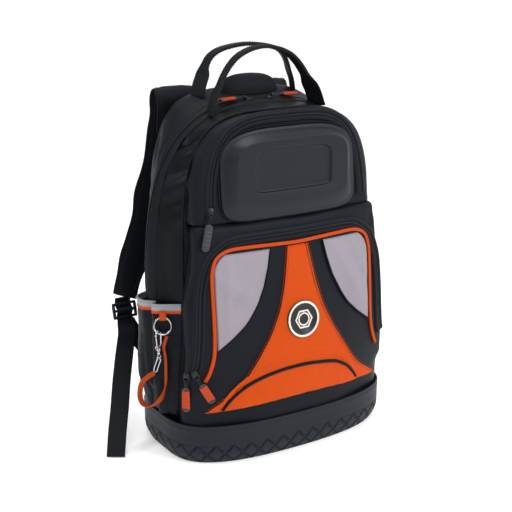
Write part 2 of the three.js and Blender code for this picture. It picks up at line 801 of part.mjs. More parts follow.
// A pull: an eye round the pin, a flat neck and a grip
function pullSolid(neckLength, gripLength, gripWidth, gripThick) {
  const eye = rod(eyeDiameter, eyeWidth, 10);
  const hole = rod(pinDiameter + 2 * pinPlay, eyeWidth + 2, 10);
  const start = eyeDiameter / 2 - 0.6;
  const neck = box(start, start + neckLength, -eyeWidth / 2, eyeWidth / 2, -0.8, 0.8);
  const grip = new THREE.Shape();
  const [h, r] = [gripWidth / 2, gripWidth / 3];
  const [x0, x1] = [start + neckLength - 1, start + neckLength - 1 + gripLength];
  grip.moveTo(x0 + r, -h);
  grip.lineTo(x1 - r, -h);
  grip.absarc(x1 - r, -h + r, r, -Math.PI / 2, 0);
  grip.absarc(x1 - r, h - r, r, 0, Math.PI / 2);
  grip.lineTo(x0 + r, h);
  grip.absarc(x0 + r, h - r, r, Math.PI / 2, Math.PI);
  grip.absarc(x0 + r, -h + r, r, Math.PI, 1.5 * Math.PI);
  const slab = new THREE.ExtrudeGeometry(grip, { depth: gripThick, bevelEnabled: false, curveSegments: 2 })
    .translate(0, 0, -gripThick / 2);
  return cut(join(eye, neck, slab), hole);
}

// A frame on the bag: origin on the surface, out along the normal and along the pull's direction
function frameAt(at, out, along) {
  const z = out.clone().normalize();
  const x = along.clone().addScaledVector(z, -along.dot(z)).normalize();
  const y = new THREE.Vector3().crossVectors(z, x);
  return new THREE.Matrix4().makeBasis(x, y, z).setPosition(at);
}

// Handles
const handleRise = 58.5; // the handles' tops over the bag's
const handleTop = bagTop + handleRise;
const frontHandleHalf = 88;
const rearHandleHalf = 78;
const frontHandleY = -4;
const rearHandleY = 45;
const handleLean = 6; // the front handle's top leans back by this much
const frontTwist = 30;
const rearTwist = -20;
const gripWidth = 14; // the webbing is folded in two along the grip
const gripThick = 5;
const foldFrom = 0.12; // the fold starts and ends at these shares of the half handle
const foldTo = 0.2;

function handle(half, y, lean, twist, route) {
  const foot = bodyTopAt(half, y);
  const side = (s) => route.map(({ out, up }) => V(s * out * half, y + lean * up, lerp(foot, handleTop, up)));
  const points = [...side(-1), V(0, y + lean, handleTop), ...side(1).reverse()];
  const turn = THREE.MathUtils.degToRad(twist);
  const across = (t) => {
    const a = turn * Math.cos(Math.PI * t);
    return V(Math.sin(a), Math.cos(a), 0);
  };
  const fold = (t) => smooth(Math.min(t, 1 - t), foldFrom, foldTo);
  const width = (t) => lerp(webbing, gripWidth, fold(t));
  const thick = (t) => lerp(webbingThick, gripThick, fold(t));
  const rings = ribbonRings(alongCurve(points, 24, width, thick, across));
  const last = rings.length - 1;
  for (const r of [0, 1, last - 1, last]) {
    for (const p of rings[r]) p.z = bodyTopAt(p.x, p.y) + 2 * gap;
  }
  return loft(rings);
}

// Side pockets, cloth sheets that stand off the bag's side
const sidePocketDepth = 14;
const bulgeBack = 1.7; // the pockets bulge most behind their middle
const pocketSeamY = -4;
const pocketRearY = 44;
const sideColumns = 7;

function sideGrid(side, yFrom, yTo, heights, out) {
  return heights.map((z) => {
    const row = [];
    for (let c = 0; c <= sideColumns; c += 1) {
      const u = c / sideColumns;
      const y = lerp(yFrom, yTo, u);
      const onBag = bodySideAt(y, z);
      const full = lerp(0.3, 1, smooth(z, sidePocketFoot, 2 * sidePocketFoot));
      const bulge = Math.sin(Math.PI * u ** bulgeBack) ** 0.8;
      const off = 3 * gap + sidePocketDepth * bulge * full + out;
      row.push(V(side * (onBag.x + off), onBag.y, z));
    }
    return row;
  });
}

function sidePocket(side, yFrom, yTo) {
  const heights = [0, 0.1, 0.22, 0.4, 0.7, 1].map((s) => lerp(sidePocketFoot, sidePocketTop, s));
  return sheet(sideGrid(side, yFrom, yTo, heights, sidePocketCloth), sideGrid(side, yFrom, yTo, heights, 0));
}

function pocketBand(side, yFrom, yTo) {
  const heights = [sidePocketTop + gap, sidePocketTop + gap + bandHeight];
  const thick = sidePocketCloth + 0.8;
  return sheet(sideGrid(side, yFrom, yTo, heights, thick), sideGrid(side, yFrom, yTo, heights, 0));
}

// Back panel and the pad on top
const backPanelHalf = 112;
const backPanelFoot = 76;
const backPanelTop = 452;
const backPanelThick = 12.5;

function backPanel() {
  const ring = (inset, y) => archOutline({
    foot: backPanelHalf - inset,
    half: backPanelHalf - inset,
    low: backPanelFoot + inset,
    turn: waist,
    top: backPanelTop - inset,
    power: 2.6,
    sides: 5,
    crownSteps: 14,
    footSteps: 4,
  }).map(([x, z]) => V(x, y, z));
  const middle = (backPanelFoot + backPanelTop) / 2;
  const from = backY + gap;
  return loft([
    [V(0, from, middle)],
    ring(4, from),
    ring(0, from + 0.4 * backPanelThick),
    ring(5, from + 0.85 * backPanelThick),
    ring(16, from + backPanelThick),
    [V(0, from + backPanelThick, middle)],
  ]);
}

const topPadHalf = 46;
const topPadDepth = 15;
const topPadY = 40;
const topPadHeight = 21;

function topPad() {
  const rows = [
    { size: 1, up: 0 }, { size: 1, up: 0.3 }, { size: 0.86, up: 0.68 }, { size: 0.55, up: 0.93 },
  ];
  const at = (x, y, up) => V(x, y, bodyTopAt(x, y) + gap + up * topPadHeight);
  const rings = rows.map(({ size, up }) => {
    const ring = [];
    for (let i = 0; i < 20; i += 1) {
      const a = (2 * Math.PI * i) / 20;
      ring.push(at(topPadHalf * size * Math.cos(a), topPadY + topPadDepth * size * Math.sin(a), up));
    }
    return ring;
  });
  return loft([[at(0, topPadY, 0)], ...rings, [at(0, topPadY, 1)]]);
}

// Shoulder straps. Points are for the left strap, and the right one mirrors them.
const strapRoute = [
  [-77, 105.6, 425], [-77.5, 105.7, 455], [-79, 106.4, 477], [-79.5, 114, 487], [-80, 121, 478],
  [-83, 119, 448], [-92, 119.5, 395], [-104, 123, 348], [-116, 127.5, 300], [-133, 129, 260],
  [-147, 127, 229], [-157, 123, 206], [-164, 118, 190],
];
const strapWide = 62;
const strapNarrow = 34;

function strap(side) {
  const points = strapRoute.map(([x, y, z]) => V(-side * x, y, z));
  const width = (t) => lerp(strapWide, strapNarrow, smooth(t, 0.55, 1.02));
  return ribbon(alongCurve(points, 22, width, strapThick, () => V(1, 0, 0)), 8);
}

const adjusterWidth = 38;
const adjusterHeight = 24;
const adjusterThick = 4.5;
const adjusterBar = 4;
const buckleLean = 0.25;

function adjuster() {
  const [w, h, t, b] = [adjusterWidth / 2, adjusterHeight / 2, adjusterThick / 2, adjusterBar];
  const slot = h - 1.5 * b;
  const plate = box(-w, w, -t, t, -h, h);
  const upper = box(-w + b, w - b, -t - 1, t + 1, b / 2, b / 2 + slot);
  const lower = box(-w + b, w - b, -t - 1, t + 1, -b / 2 - slot, -b / 2);
  return cut(plate, upper, lower);
}

// The left tail touches the floor and leans out, and the right one hangs behind the bag
const leftTail = [
  [-168, 109, 158.6], [-168.2, 108.3, 152], [-171.5, 99.5, 140], [-179, 90, 123], [-190, 75, 103], [-201, 60, 80],
  [-212, 43, 57], [-227, 21, 30], [-239, 3, 1.6],
];
const rightTail = [
  [168, 109, 158.6], [168.2, 108.4, 152], [171, 107.5, 137], [176, 110, 105], [178, 116, 72], [179, 129, 42],
  [179, 148, 18], [179, 172, 1.6],
];
const leftAnchor = [
  [-164, 112.2, 158.5], [-163.8, 112.5, 152], [-156, 113.5, 138], [-140, 109, 112], [-126, 104, 90], [-112, 101.5, 78],
];

function tail(points, acrossEnd) {
  const start = V(1, 0, 0);
  const across = (t) => start.clone().lerp(acrossEnd, t);
  return ribbon(alongCurve(points.map((p) => V(...p)), 11, tailWidth, tailThick, across));
}

function anchorWebbing(side) {
  const points = leftAnchor.map(([x, y, z]) => V(-side * x, y, z));
  return ribbon(alongCurve(points, 8, tailWidth - 4, tailThick, () => V(1, 0, 0)));
}

// Badge: a disc with a raised rim and a plain hexagon nut
function badge() {
  const radius = badgeDiameter / 2;
  const rim = 2.4;
  const field = badgeThick - 0.6;
  const profile = [
    [0, 0], [radius - 0.5, 0], [radius, 0.5], [radius, badgeThick - 0.3], [radius - 0.3, badgeThick],
    [radius - rim, badgeThick], [radius - rim, field], [0, field],
  ].map(([x, y]) => new THREE.Vector2(x, y));
  const disc = new THREE.LatheGeometry(profile, 24);
  const nut = new THREE.Shape();
  const corner = 0.58 * radius;
  for (let i = 0; i < 6; i += 1) {
    const at = [corner * Math.cos((Math.PI * i) / 3), corner * Math.sin((Math.PI * i) / 3)];
    if (i === 0) nut.moveTo(...at);
    else nut.lineTo(...at);
  }
  const bore = new THREE.Path();
  bore.absarc(0, 0, 0.3 * radius, 0, 2 * Math.PI, true);
  nut.holes.push(bore);
  const raised = new THREE.ExtrudeGeometry(nut, { depth: 0.9, bevelEnabled: false, curveSegments: 8 })
    .rotateX(-Math.PI / 2).translate(0, field - 0.4, 0);
  return join(disc, raised);
}

// Tool lanyard on the left front side pocket. Its frame lies on the pocket: x to the rear along the
// cloth, y out of it, z up.
const tabWidth = 9;
const tabThick = 1.2;
const tabTop = 208;
const tabLoopFoot = 199;
const ringDrop = 1.6; // room under the ring's wire for its bend across the tab
const tabShare = 0.43; // how far along the pocket's mouth it is sewn

function lanyardFrame() {
  const grid = sideGrid(-1, seamY + 1.5, pocketSeamY - 1, [tabLoopFoot, tabTop], sidePocketCloth);
  const column = Math.round(tabShare * sideColumns);
  const [a, b] = [grid[0][column - 1], grid[0][column + 1]];
  const at = grid[0][column];
  const along = V(b.x - a.x, b.y - a.y, 0).normalize();
  const out = V(-along.y, along.x, 0);
  if (out.x > 0) out.negate();
  return { at: V(at.x, at.y, 0), along, out };
}

function onPocket(frame, along, out, z) {
  return frame.at.clone().addScaledVector(frame.along, along).addScaledVector(frame.out, out).setZ(z);
}

function tab(frame) {
  const wire = ringWire / 2 + gap + tabThick / 2;
  const near = 2 * gap + tabThick / 2;
  const middle = near + wire;
  const route = [[near, tabTop], [near, tabLoopFoot + 6], [near, tabLoopFoot + wire]];
  for (let i = 1; i <= 5; i += 1) {
    const a = Math.PI + (Math.PI * i) / 6;
    route.push([middle + wire * Math.cos(a), tabLoopFoot + wire + wire * Math.sin(a)]);
  }
  route.push([middle + wire, tabLoopFoot + wire], [middle + 0.6 * wire, tabLoopFoot + 7]);
  route.push([near + tabThick + gap, tabLoopFoot + 11], [near + tabThick + gap, tabTop]);
  const points = route.map(([out, z]) => onPocket(frame, 0, out, z));
  const stations = points.map((at, i) => {
    const tangent = points[Math.min(points.length - 1, i + 1)].clone().sub(points[Math.max(0, i - 1)]).normalize();
    const normal = new THREE.Vector3().crossVectors(tangent, frame.along).normalize();
    return { at, across: frame.along, normal, width: tabWidth, thick: tabThick };
  });
  return { solid: ribbon(stations), wireOut: middle, wireZ: tabLoopFoot + wire + ringDrop };
}

// The hook is drawn hanging from z = 0 in its own x-z plane
const hookWire = 2.6;
const hookRadius = 5.2;
const hookLength = 27;
const gateThick = 2;
const gatePivot = [3.4, -22.6];
const gateEye = 3.2;

function wireAlong(points, diameter, sides, steps) {
  return tubeAlong(points.map(([x, y, z]) => V(x, y, z)), diameter, sides, steps);
}

function snapHook() {
  const top = -hookWire / 2 - hookRadius;
  const points = [[-1.5, 0, -hookLength + 2.5], [-4.4, 0, -hookLength + 5], [-hookRadius, 0, -hookLength + 10]];
  for (let i = 0; i <= 6; i += 1) {
    const a = Math.PI - (Math.PI * i) / 6;
    points.push([hookRadius * Math.cos(a), 0, top + hookRadius * Math.sin(a)]);
  }
  points.push([hookRadius, 0, top - 1.6]);
  const bend = wireAlong(points, hookWire, 8, 22);
  const base = rod(6.4, 5.6, 12).rotateX(Math.PI / 2).translate(0, 0, -hookLength - 0.2);
  const reach = gateThick / 2 + gap;
  const ear = (side) => {
    const [near, far] = [side * reach, side * (reach + 1)];
    return box(1, gatePivot[0] + 1.5, Math.min(near, far), Math.max(near, far), -hookLength, gatePivot[1] + 1.4);
  };
  const pin = rod(1.1, 2 * reach + 1).translate(gatePivot[0], 0, gatePivot[1]);
  const pegs = rod(2, 3, 10).rotateX(Math.PI / 2).translate(0, 0, -hookLength - 4);
  return join(bend, base, ear(1), ear(-1), pin, pegs);
}

function hookGate() {
  const eye = rod(gateEye, gateThick, 12);
  const hole = rod(1.1 + 2 * pinPlay, gateThick + 2, 12);
  const top = -hookWire / 2 - hookRadius - 1.6 - gap;
  const rise = top - gatePivot[1];
  const lean = hookRadius - gatePivot[0];
  const length = Math.hypot(rise, lean);
  const bar = box(-gateThick / 2, gateThick / 2, -gateThick / 2, gateThick / 2, gateEye / 2 - 0.5, length - 0.2)
    .rotateY(Math.atan2(lean, rise));
  return cut(join(eye, bar), hole);
}

const swivelEye = 9;
const swivelWire = 2;
const swivelDrop = 4.2 + swivelEye - 0.8 - swivelWire / 2; // from the swivel's top to its eye's foot
const linkLength = 22;
const linkWire = 1.8;
const linkRadius = 2.7;

// A closed loop of wire along points of the x-y plane
function hoop(points, diameter, sides) {
  const count = points.length;
  const rings = points.map((p, i) => {
    const before = points[(i + count - 1) % count];
    const after = points[(i + 1) % count];
    const tangent = after.clone().sub(before).normalize();
    const out = V(tangent.y, -tangent.x, 0);
    const ring = [];
    for (let k = 0; k < sides; k += 1) {
      const a = (2 * Math.PI * k) / sides;
      ring.push(p.clone().addScaledVector(out, (diameter / 2) * Math.cos(a)).add(V(0, 0, (diameter / 2) * Math.sin(a))));
    }
    return ring;
  });
  const index = [];
  for (let r = 0; r < count; r += 1) {
    for (let k = 0; k < sides; k += 1) {
      const [a, b] = [r * sides, ((r + 1) % count) * sides];
      const l = (k + 1) % sides;
      index.push(a + k, b + k, b + l, a + k, b + l, a + l);
    }
  }
  return indexed(rings.flat(), index);
}

// A long link whose near end hooks round a wire at the origin
function link() {
  const near = linkRadius - (linkWire + swivelWire) / 2 - gap;
  const far = linkLength - linkRadius - linkWire / 2;
  const points = [];
  for (let i = 0; i <= 6; i += 1) {
    const a = Math.PI / 2 + (Math.PI * i) / 6;
    points.push(V(near + linkRadius * Math.cos(a), linkRadius * Math.sin(a), 0));
  }
  for (let i = 0; i <= 6; i += 1) {
    const a = -Math.PI / 2 + (Math.PI * i) / 6;
    points.push(V(far + linkRadius * Math.cos(a), linkRadius * Math.sin(a), 0));
  }
  return hoop(points, linkWire, 6);
}

function swivel() {
  const neck = rod(4.6, 4.2, 12).rotateX(Math.PI / 2).translate(0, 0, -2.4);
  const bore = rod(2 + 2 * pinPlay, 3.2, 10).rotateX(Math.PI / 2).translate(0, 0, -1);
  const eye = new THREE.TorusGeometry((swivelEye - swivelWire) / 2, swivelWire / 2, 6, 14)
    .rotateX(Math.PI / 2).translate(0, 0, -4.2 - swivelEye / 2 + 0.8);
  return cut(join(neck, eye), bore);
}

// Assembly
const group = new THREE.Group();

function finish(colour, roughness, metalness = 0) {
  return new THREE.MeshStandardMaterial({ color: colour, roughness, metalness });
}

const looks = {
  cloth: finish(0x1b1c20, 0.85),
  rubber: finish(0x25272c, 0.6),
  shell: finish(0x17181b, 0.5),
  orange: finish(0xe8601f, 0.8),
  grey: finish(0xa59ba5, 0.75),
  band: finish(0x85878c, 0.8),
  zip: finish(0x121316, 0.7),
  metal: finish(0x9b9ca0, 0.3, 1),
  darkMetal: finish(0x2a2b2e, 0.4, 0.9),
  badge: finish(0x101114, 0.4),
  webbing: finish(0x202124, 0.8),
  buckle: finish(0x141518, 0.5),
};

function add(name, geometry, material, matrix) {
  const mesh = new THREE.Mesh(geometry, material);
  mesh.name = name;
  if (matrix) matrix.decompose(mesh.position, mesh.quaternion, mesh.scale);
  group.add(mesh);
  return mesh;
}

add('boot', bootSolid(), looks.rubber);
add('main_compartment_rear', mainRear(), looks.cloth);
add('main_compartment_front', mainFront(), looks.cloth);
add('main_zip', mainZip(), looks.zip);
add('back_panel', backPanel(), looks.cloth);
add('top_pad', topPad(), looks.cloth);
add('upper_pocket', upperPocket(), looks.cloth);
add('upper_zip', faceBand(upperZipRoute(), 5.5, 1.6, upperFaceY), looks.zip);
add('hard_shell', hardShell(), looks.shell);
add('lower_pocket', lowerPocket(), looks.cloth);
add('lower_zip', faceBand(lowerZipRoute(), 6, 1.8, faceY), looks.zip);
add('piping', piping(), looks.orange);
add('grey_panel_left', greyPanel(-1), looks.grey);
add('grey_panel_right', greyPanel(1), looks.grey);
add('orange_panel', orangePanel(), looks.orange);
add('arch_pocket', archPocket(), looks.orange);

// Badge on the orange panel
const badgeZ = 191;
const badgeLean = Math.atan2(faceY(0, badgeZ + 5) - faceY(0, badgeZ - 5), 10);
const badgeAt = V(0, faceY(0, badgeZ) - panelCloth - 4 * gap, badgeZ);
const badgeFrame = new THREE.Matrix4().makeRotationX(Math.PI - badgeLean).setPosition(badgeAt);
add('badge', badge(), looks.badge, badgeFrame);

add('front_handle', handle(frontHandleHalf, frontHandleY, handleLean, frontTwist, frontHandleRoute), looks.webbing);
add('rear_handle', handle(rearHandleHalf, rearHandleY, 0, rearTwist, rearHandleRoute), looks.webbing);

// Sliders with their pulls
const crownSag = 0.95; // how far the flat-sided crown lies under its curve
const zips = [];
const mainSliders = { [-1]: 25, 1: 20 }; // from the middle of the bag
for (const side of [-1, 1]) {
  const x = side * mainSliders[side];
  const slope = (bodyTopAt(x + side, zipY) - bodyTopAt(x - side, zipY)) / 2;
  const along = V(side, 0, slope).normalize();
  zips.push({
    name: side < 0 ? 'main_left' : 'main_right',
    at: V(x, zipY, bodyTopAt(x, zipY + sliderWidth / 2) + gap - crownSag),
    out: V(-side * slope, 0, 1),
    along,
    pull: [13, 28, 10, 4],
    look: looks.orange,
  });
}
const upperSlider = upperZipRoute()[0];
zips.push({
  name: 'upper',
  at: V(upperSlider.x - 3, upperFaceY(upperSlider.x, upperSlider.z) - 2.9, upperSlider.z - 2),
  out: V(-0.2, -0.97, 0.14),
  along: V(-0.25, 0, -1),
  pull: [9, 36, 11, 3.4],
  look: looks.band,
});
const lowerEnd = lowerZipRoute()[0];
zips.push({
  name: 'lower_inner',
  at: V(lowerEnd.x + 1, faceY(lowerEnd.x + 3, lowerEnd.z - 8) - 3, lowerEnd.z - 8),
  out: V(-0.4, -0.92, 0.05),
  along: V(0.62, 0, -1),
  pull: [9, 30, 11, 3.6],
  look: looks.orange,
});
zips.push({
  name: 'lower_outer',
  at: V(lowerEnd.x - 8.7, faceY(lowerEnd.x - 6, lowerEnd.z - 14) + 5.1, lowerEnd.z - 13),
  out: V(-0.78, -0.63, 0),
  along: V(0, 0, -1),
  pull: [9, 34, 11, 3.6],
  look: looks.orange,
});
for (const zip of zips) {
  const frame = frameAt(zip.at, zip.out, zip.along);
  add(`${zip.name}_slider`, sliderSolid(), looks.darkMetal, frame);
  const pin = frame.clone().multiply(new THREE.Matrix4().makeTranslation(0, 0, pinHeight));
  add(`${zip.name}_pull`, pullSolid(...zip.pull), zip.look, pin);
}

// Side pockets
for (const side of [-1, 1]) {
  const word = side < 0 ? 'left' : 'right';
  const spans = { front: [seamY + 1.5, pocketSeamY - 1], rear: [pocketSeamY + 1, pocketRearY] };
  for (const [place, [from, to]] of Object.entries(spans)) {
    add(`side_pocket_${place}_${word}`, sidePocket(side, from, to), looks.cloth);
    add(`pocket_band_${place}_${word}`, pocketBand(side, from, to), looks.band);
  }
  add(`shoulder_strap_${word}`, strap(side), looks.cloth);
  const [footX, footY, footZ] = strapRoute.at(-1);
  const buckle = new THREE.Matrix4().makeRotationX(-buckleLean)
    .setPosition(V(-side * (footX - 3), footY - 4.5, footZ - adjusterHeight / 2 - 6.9));
  add(`adjuster_${word}`, adjuster(), looks.buckle, buckle);
  add(`anchor_webbing_${word}`, anchorWebbing(side), looks.webbing);
}
add('webbing_tail_left', tail(leftTail, V(0.79, -0.61, 0)), looks.webbing);
add('webbing_tail_right', tail(rightTail, V(1, 0, 0)), looks.webbing);

// Lanyard
const lanyard = lanyardFrame();
const loop = tab(lanyard);
add('lanyard_tab', loop.solid, looks.orange);
const ringRadius = (ringDiameter - ringWire) / 2;
const ringLean = 0.24; // the ring's foot leans out from the pocket
const ringDown = lanyard.out.clone().multiplyScalar(ringLean).add(V(0, 0, -1)).normalize();
const ringTop = onPocket(lanyard, 0, loop.wireOut, loop.wireZ);
const ringOut = lanyard.out.clone().add(V(0, 0, ringLean));
const ringFrame = frameAt(ringTop.clone().addScaledVector(ringDown, ringRadius), ringOut, ringDown);
add('lanyard_ring', new THREE.TorusGeometry(ringRadius, ringWire / 2, 6, 16), looks.metal, ringFrame);

// A point of the ring's wire, at an angle from its foot towards the rear
function onRing(angle, from = ringRadius) {
  const centre = ringTop.clone().addScaledVector(ringDown, ringRadius);
  return centre.addScaledVector(ringDown, from * Math.cos(angle)).addScaledVector(lanyard.along, from * Math.sin(angle));
}

const hookAngle = THREE.MathUtils.degToRad(30);
const hookTurn = THREE.MathUtils.degToRad(35);
const hookAt = onRing(hookAngle).add(V(0, 0, hookWire + gap + ringWire / (2 * Math.cos(hookAngle)) + 0.3));
const hookAlong = lanyard.out.clone().multiplyScalar(Math.cos(hookTurn)).addScaledVector(lanyard.along, Math.sin(hookTurn));
const hookFrame = frameAt(hookAt, V(0, 0, 1), hookAlong);
const inHook = (x, z) => new THREE.Matrix4().makeTranslation(x, 0, z);
add('snap_hook', snapHook(), looks.metal, hookFrame);
add('hook_gate', hookGate(), looks.metal, hookFrame.clone().multiply(inHook(...gatePivot)));
add('hook_swivel', swivel(), looks.metal, hookFrame.clone().multiply(inHook(0, -hookLength - 3.6)));

// The link slants back from the swivel's eye
const eyeFoot = V(0, 0, -hookLength - 3.6 - swivelDrop).applyMatrix4(hookFrame);
const linkAcross = V(1, 0, 0).transformDirection(hookFrame);
const linkAlong = V(0, 0, -1).addScaledVector(lanyard.along, 0.7).addScaledVector(lanyard.out, 0.3);
linkAlong.addScaledVector(linkAcross, -linkAlong.dot(linkAcross)).normalize();
const linkFrame = frameAt(eyeFoot, linkAcross, linkAlong);
add('lanyard_link', link(), looks.metal, linkFrame);

// The lanyard hangs in one loop from the ring's foot to the link
const lanyardTop = onRing(THREE.MathUtils.degToRad(-22), ringRadius + ringWire / 2 + 4 * gap);
const lanyardEnd = V(linkLength + gap + 0.4, 0, 0).applyMatrix4(linkFrame);
const lanyardMiddle = [
  [-179, -33.5, 164], [-176.5, -32.5, 148], [-176, -32, 128], [-177.5, -32.5, 108], [-182, -32.5, 94],
  [-188, -27, 82], [-193, -14, 73], [-196, -1, 72], [-197, 7, 80], [-196.5, 5, 97], [-194, -5, 111],
];

function lanyardCord() {
  const points = [lanyardTop, ...lanyardMiddle.map((p) => V(...p)), lanyardEnd];
  const across = (t) => V(0.1, 1, 0)
    .lerp(V(1, -0.2, 0), smooth(t, 0.3, 0.52))
    .lerp(V(0.2, -1, 0), smooth(t, 0.74, 0.92));
  return ribbon(alongCurve(points, 26, lanyardWidth, lanyardThick, across));
}

add('lanyard', lanyardCord(), looks.orange);

export default group;
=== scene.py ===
"""Looks of the tool backpack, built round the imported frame.

Shapes are in millimetres until mesh() scales them.
"""
import json
import math

import bmesh
import bpy
import numpy as np
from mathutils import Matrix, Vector


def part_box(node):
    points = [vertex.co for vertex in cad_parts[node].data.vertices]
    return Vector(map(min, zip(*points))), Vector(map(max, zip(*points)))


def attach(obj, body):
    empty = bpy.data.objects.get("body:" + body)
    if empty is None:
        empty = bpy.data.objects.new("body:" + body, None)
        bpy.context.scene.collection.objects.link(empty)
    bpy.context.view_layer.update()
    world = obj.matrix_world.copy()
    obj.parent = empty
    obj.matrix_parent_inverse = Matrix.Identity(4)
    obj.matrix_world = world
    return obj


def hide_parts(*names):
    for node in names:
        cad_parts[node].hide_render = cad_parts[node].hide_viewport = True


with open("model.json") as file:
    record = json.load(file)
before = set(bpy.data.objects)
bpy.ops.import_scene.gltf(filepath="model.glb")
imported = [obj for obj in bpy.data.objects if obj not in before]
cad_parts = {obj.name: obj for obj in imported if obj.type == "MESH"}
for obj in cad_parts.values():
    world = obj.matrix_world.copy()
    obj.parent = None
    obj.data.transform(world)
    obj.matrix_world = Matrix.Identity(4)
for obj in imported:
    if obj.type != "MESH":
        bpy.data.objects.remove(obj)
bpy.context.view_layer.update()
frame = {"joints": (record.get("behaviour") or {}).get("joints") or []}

MM = 0.001
BAG = "bag"

# Sizes of the solids, in millimetres
GAP, PANEL_CLOTH = 0.3, 1.5
BOOT_W, BOOT_D, BOOT_BOW, BOOT_H, BOOT_POWER = 349, 185, 15.5, 57, 3.8
BOOT_WALL, BOOT_FLOOR, BOOT_INSET = 3.2, 4, 7.7
BAG_HALF, BAG_TOP, WAIST, SEAM_Y, ZIP_Y, BACK_Y = 181, 492, 235, -37, 8, 88
POCKET_HALF, POCKET_TAPER, POCKET_TOP, POCKET_CORNER = 164, 0.1, 331, 10
FACE_TOP, FACE_SWELL, FACE_BOW_TOP, FACE_BOW_FOOT, FACE_HALF = 78, 30, 9, 25, 130
SHELL_HALF, SHELL_FOOT, SHELL_TOP, SHELL_FACE, SHELL_POWER, SHELL_FOOT_POWER = 107, 332, 452, 79, 3.4, 7
UPPER_BOW = 5
RECESS_W, RECESS_H = 121, 57
RECESS_SHOWN = 3.1  # The solid is 2.2 deep there: a little more makes the edge show
BADGE_Z, BADGE_D = 191.2, 51
PIPING_TOP, PIPING_HALF, PIPING_FOOT, PIPING_D = 299, 129, 122, 4.8
POCKET_FOOT_Z, POCKET_TOP_Z, BAND_H = 60, 210, 10
BODY_FOOT = BOOT_FLOOR + GAP

BODY_TABLE = np.array([
    [0.0, 0.895, 0.815, 0.955, 3.9], [0.2, 0.95, 0.93, 0.962, 3.1], [0.36, 0.96, 1.0, 0.972, 2.65],
    [0.56, 0.965, 0.92, 0.988, 3.2], [0.74, 0.935, 0.82, 1.0, 3.8], [0.9, 0.86, 0.775, 0.992, 4.0],
    [1.0, 0.75, 0.72, 0.965, 4.0],
])
LOWER_TABLE = np.array([
    [0.0, 0.97, 0.99], [0.27, 0.985, 0.995], [0.55, 1.0, 1.0], [0.82, 0.995, 1.0], [1.0, 0.965, 0.988],
])
UPPER_TABLE = np.array([
    [0.0, 0.79, 0.952, 3.7], [0.35, 0.8, 0.956, 3.6], [0.7, 0.79, 0.957, 3.6], [1.0, 0.74, 0.952, 3.7],
])
GREY_EDGE = np.array([
    [0.492, 0.965], [0.51, 0.905], [0.547, 0.775], [0.6, 0.63], [0.65, 0.54], [0.734, 0.427], [0.81, 0.365],
    [0.886, 0.323],
])
ORANGE_EDGE = np.array([
    [0.226, 1.1], [0.25, 1.01], [0.28, 0.9], [0.311, 0.775], [0.363, 0.665], [0.438, 0.53], [0.529, 0.38],
    [0.625, 0.262], [0.728, 0.185], [0.82, 0.142], [0.886, 0.113],
])
LOWER_ZIP = np.array([
    [1.2, 0.09], [1.178, 0.15], [1.155, 0.31], [1.14, 0.52], [1.116, 0.72], [1.07, 0.84], [1.01, 0.935],
    [0.91, 1.0], [0.77, 1.05], [0.5, 1.062], [0.0, 1.062],
])
REAR_HANDLE = [(1, 0), (0.97, 0.2), (0.9, 0.42), (0.85, 0.6), (0.75, 0.78), (0.58, 0.9), (0.32, 0.97)]
FRONT_HANDLE = [(1, 0), (0.91, 0.26), (0.81, 0.43), (0.73, 0.58), (0.61, 0.74), (0.46, 0.87), (0.24, 0.965)]


# Small maths on arrays
def lerp(a, b, t):
    return a + (b - a) * t


def smooth(v, a, b):
    t = np.clip((np.asarray(v, float) - a) / (b - a), 0, 1)
    return t * t * (3 - 2 * t)


def bell(v, wide):
    return np.exp(-(v / wide) ** 2)


def unit(v):
    v = np.asarray(v, float)
    return v / np.maximum(np.linalg.norm(v, axis=-1, keepdims=True), 1e-9)


def column(table, at, k):
    """A table's column k, rounded off between its rows."""
    x = np.linspace(table[0, 0], table[-1, 0], 241)
    y = np.interp(x, table[:, 0], table[:, k])
    pad = 15
    wide = np.concatenate([2 * y[0] - y[pad:0:-1], y, 2 * y[-1] - y[-2:-pad - 2:-1]])
    y = np.convolve(wide, np.hanning(2 * pad + 1) / np.hanning(2 * pad + 1).sum(), "valid")
    return np.interp(at, x, y)


def noise(p, size, seed):
    """Smooth noise from -1 to 1 with features of about size."""
    rng = np.random.default_rng(seed)
    total = np.zeros(p.shape[:-1])
    for _ in range(7):
        d = rng.normal(size=3)
        d *= rng.uniform(0.6, 1.5) / (np.linalg.norm(d) * size)
        bend = rng.normal(size=3) / (2.5 * size)
        shift, turn = rng.uniform(0, 6.28), rng.uniform(0, 6.28)
        total += np.sin(2 * np.pi * (p @ d) + shift + 1.7 * np.sin(2 * np.pi * (p @ bend) + turn))
    return total / 3.2


def super_point(angle, a, b, power):
    c, s = np.cos(angle), np.sin(angle)
    reach = ((np.abs(c) / a) ** power + (np.abs(s) / b) ** power) ** (-1 / power)
    return reach * c, reach * s


def signed_power(v, power):
    return np.sign(v) * np.abs(v) ** power


def resample(points, count, closed=False):
    p = np.asarray(points, float)
    if closed:
        p = np.vstack([p, p[:1]])
    s = np.concatenate([[0], np.cumsum(np.linalg.norm(np.diff(p, axis=0), axis=1))])
    at = np.linspace(0, s[-1], count + 1)[:-1] if closed else np.linspace(0, s[-1], count)
    return np.stack([np.interp(at, s, p[:, k]) for k in range(p.shape[1])], 1)


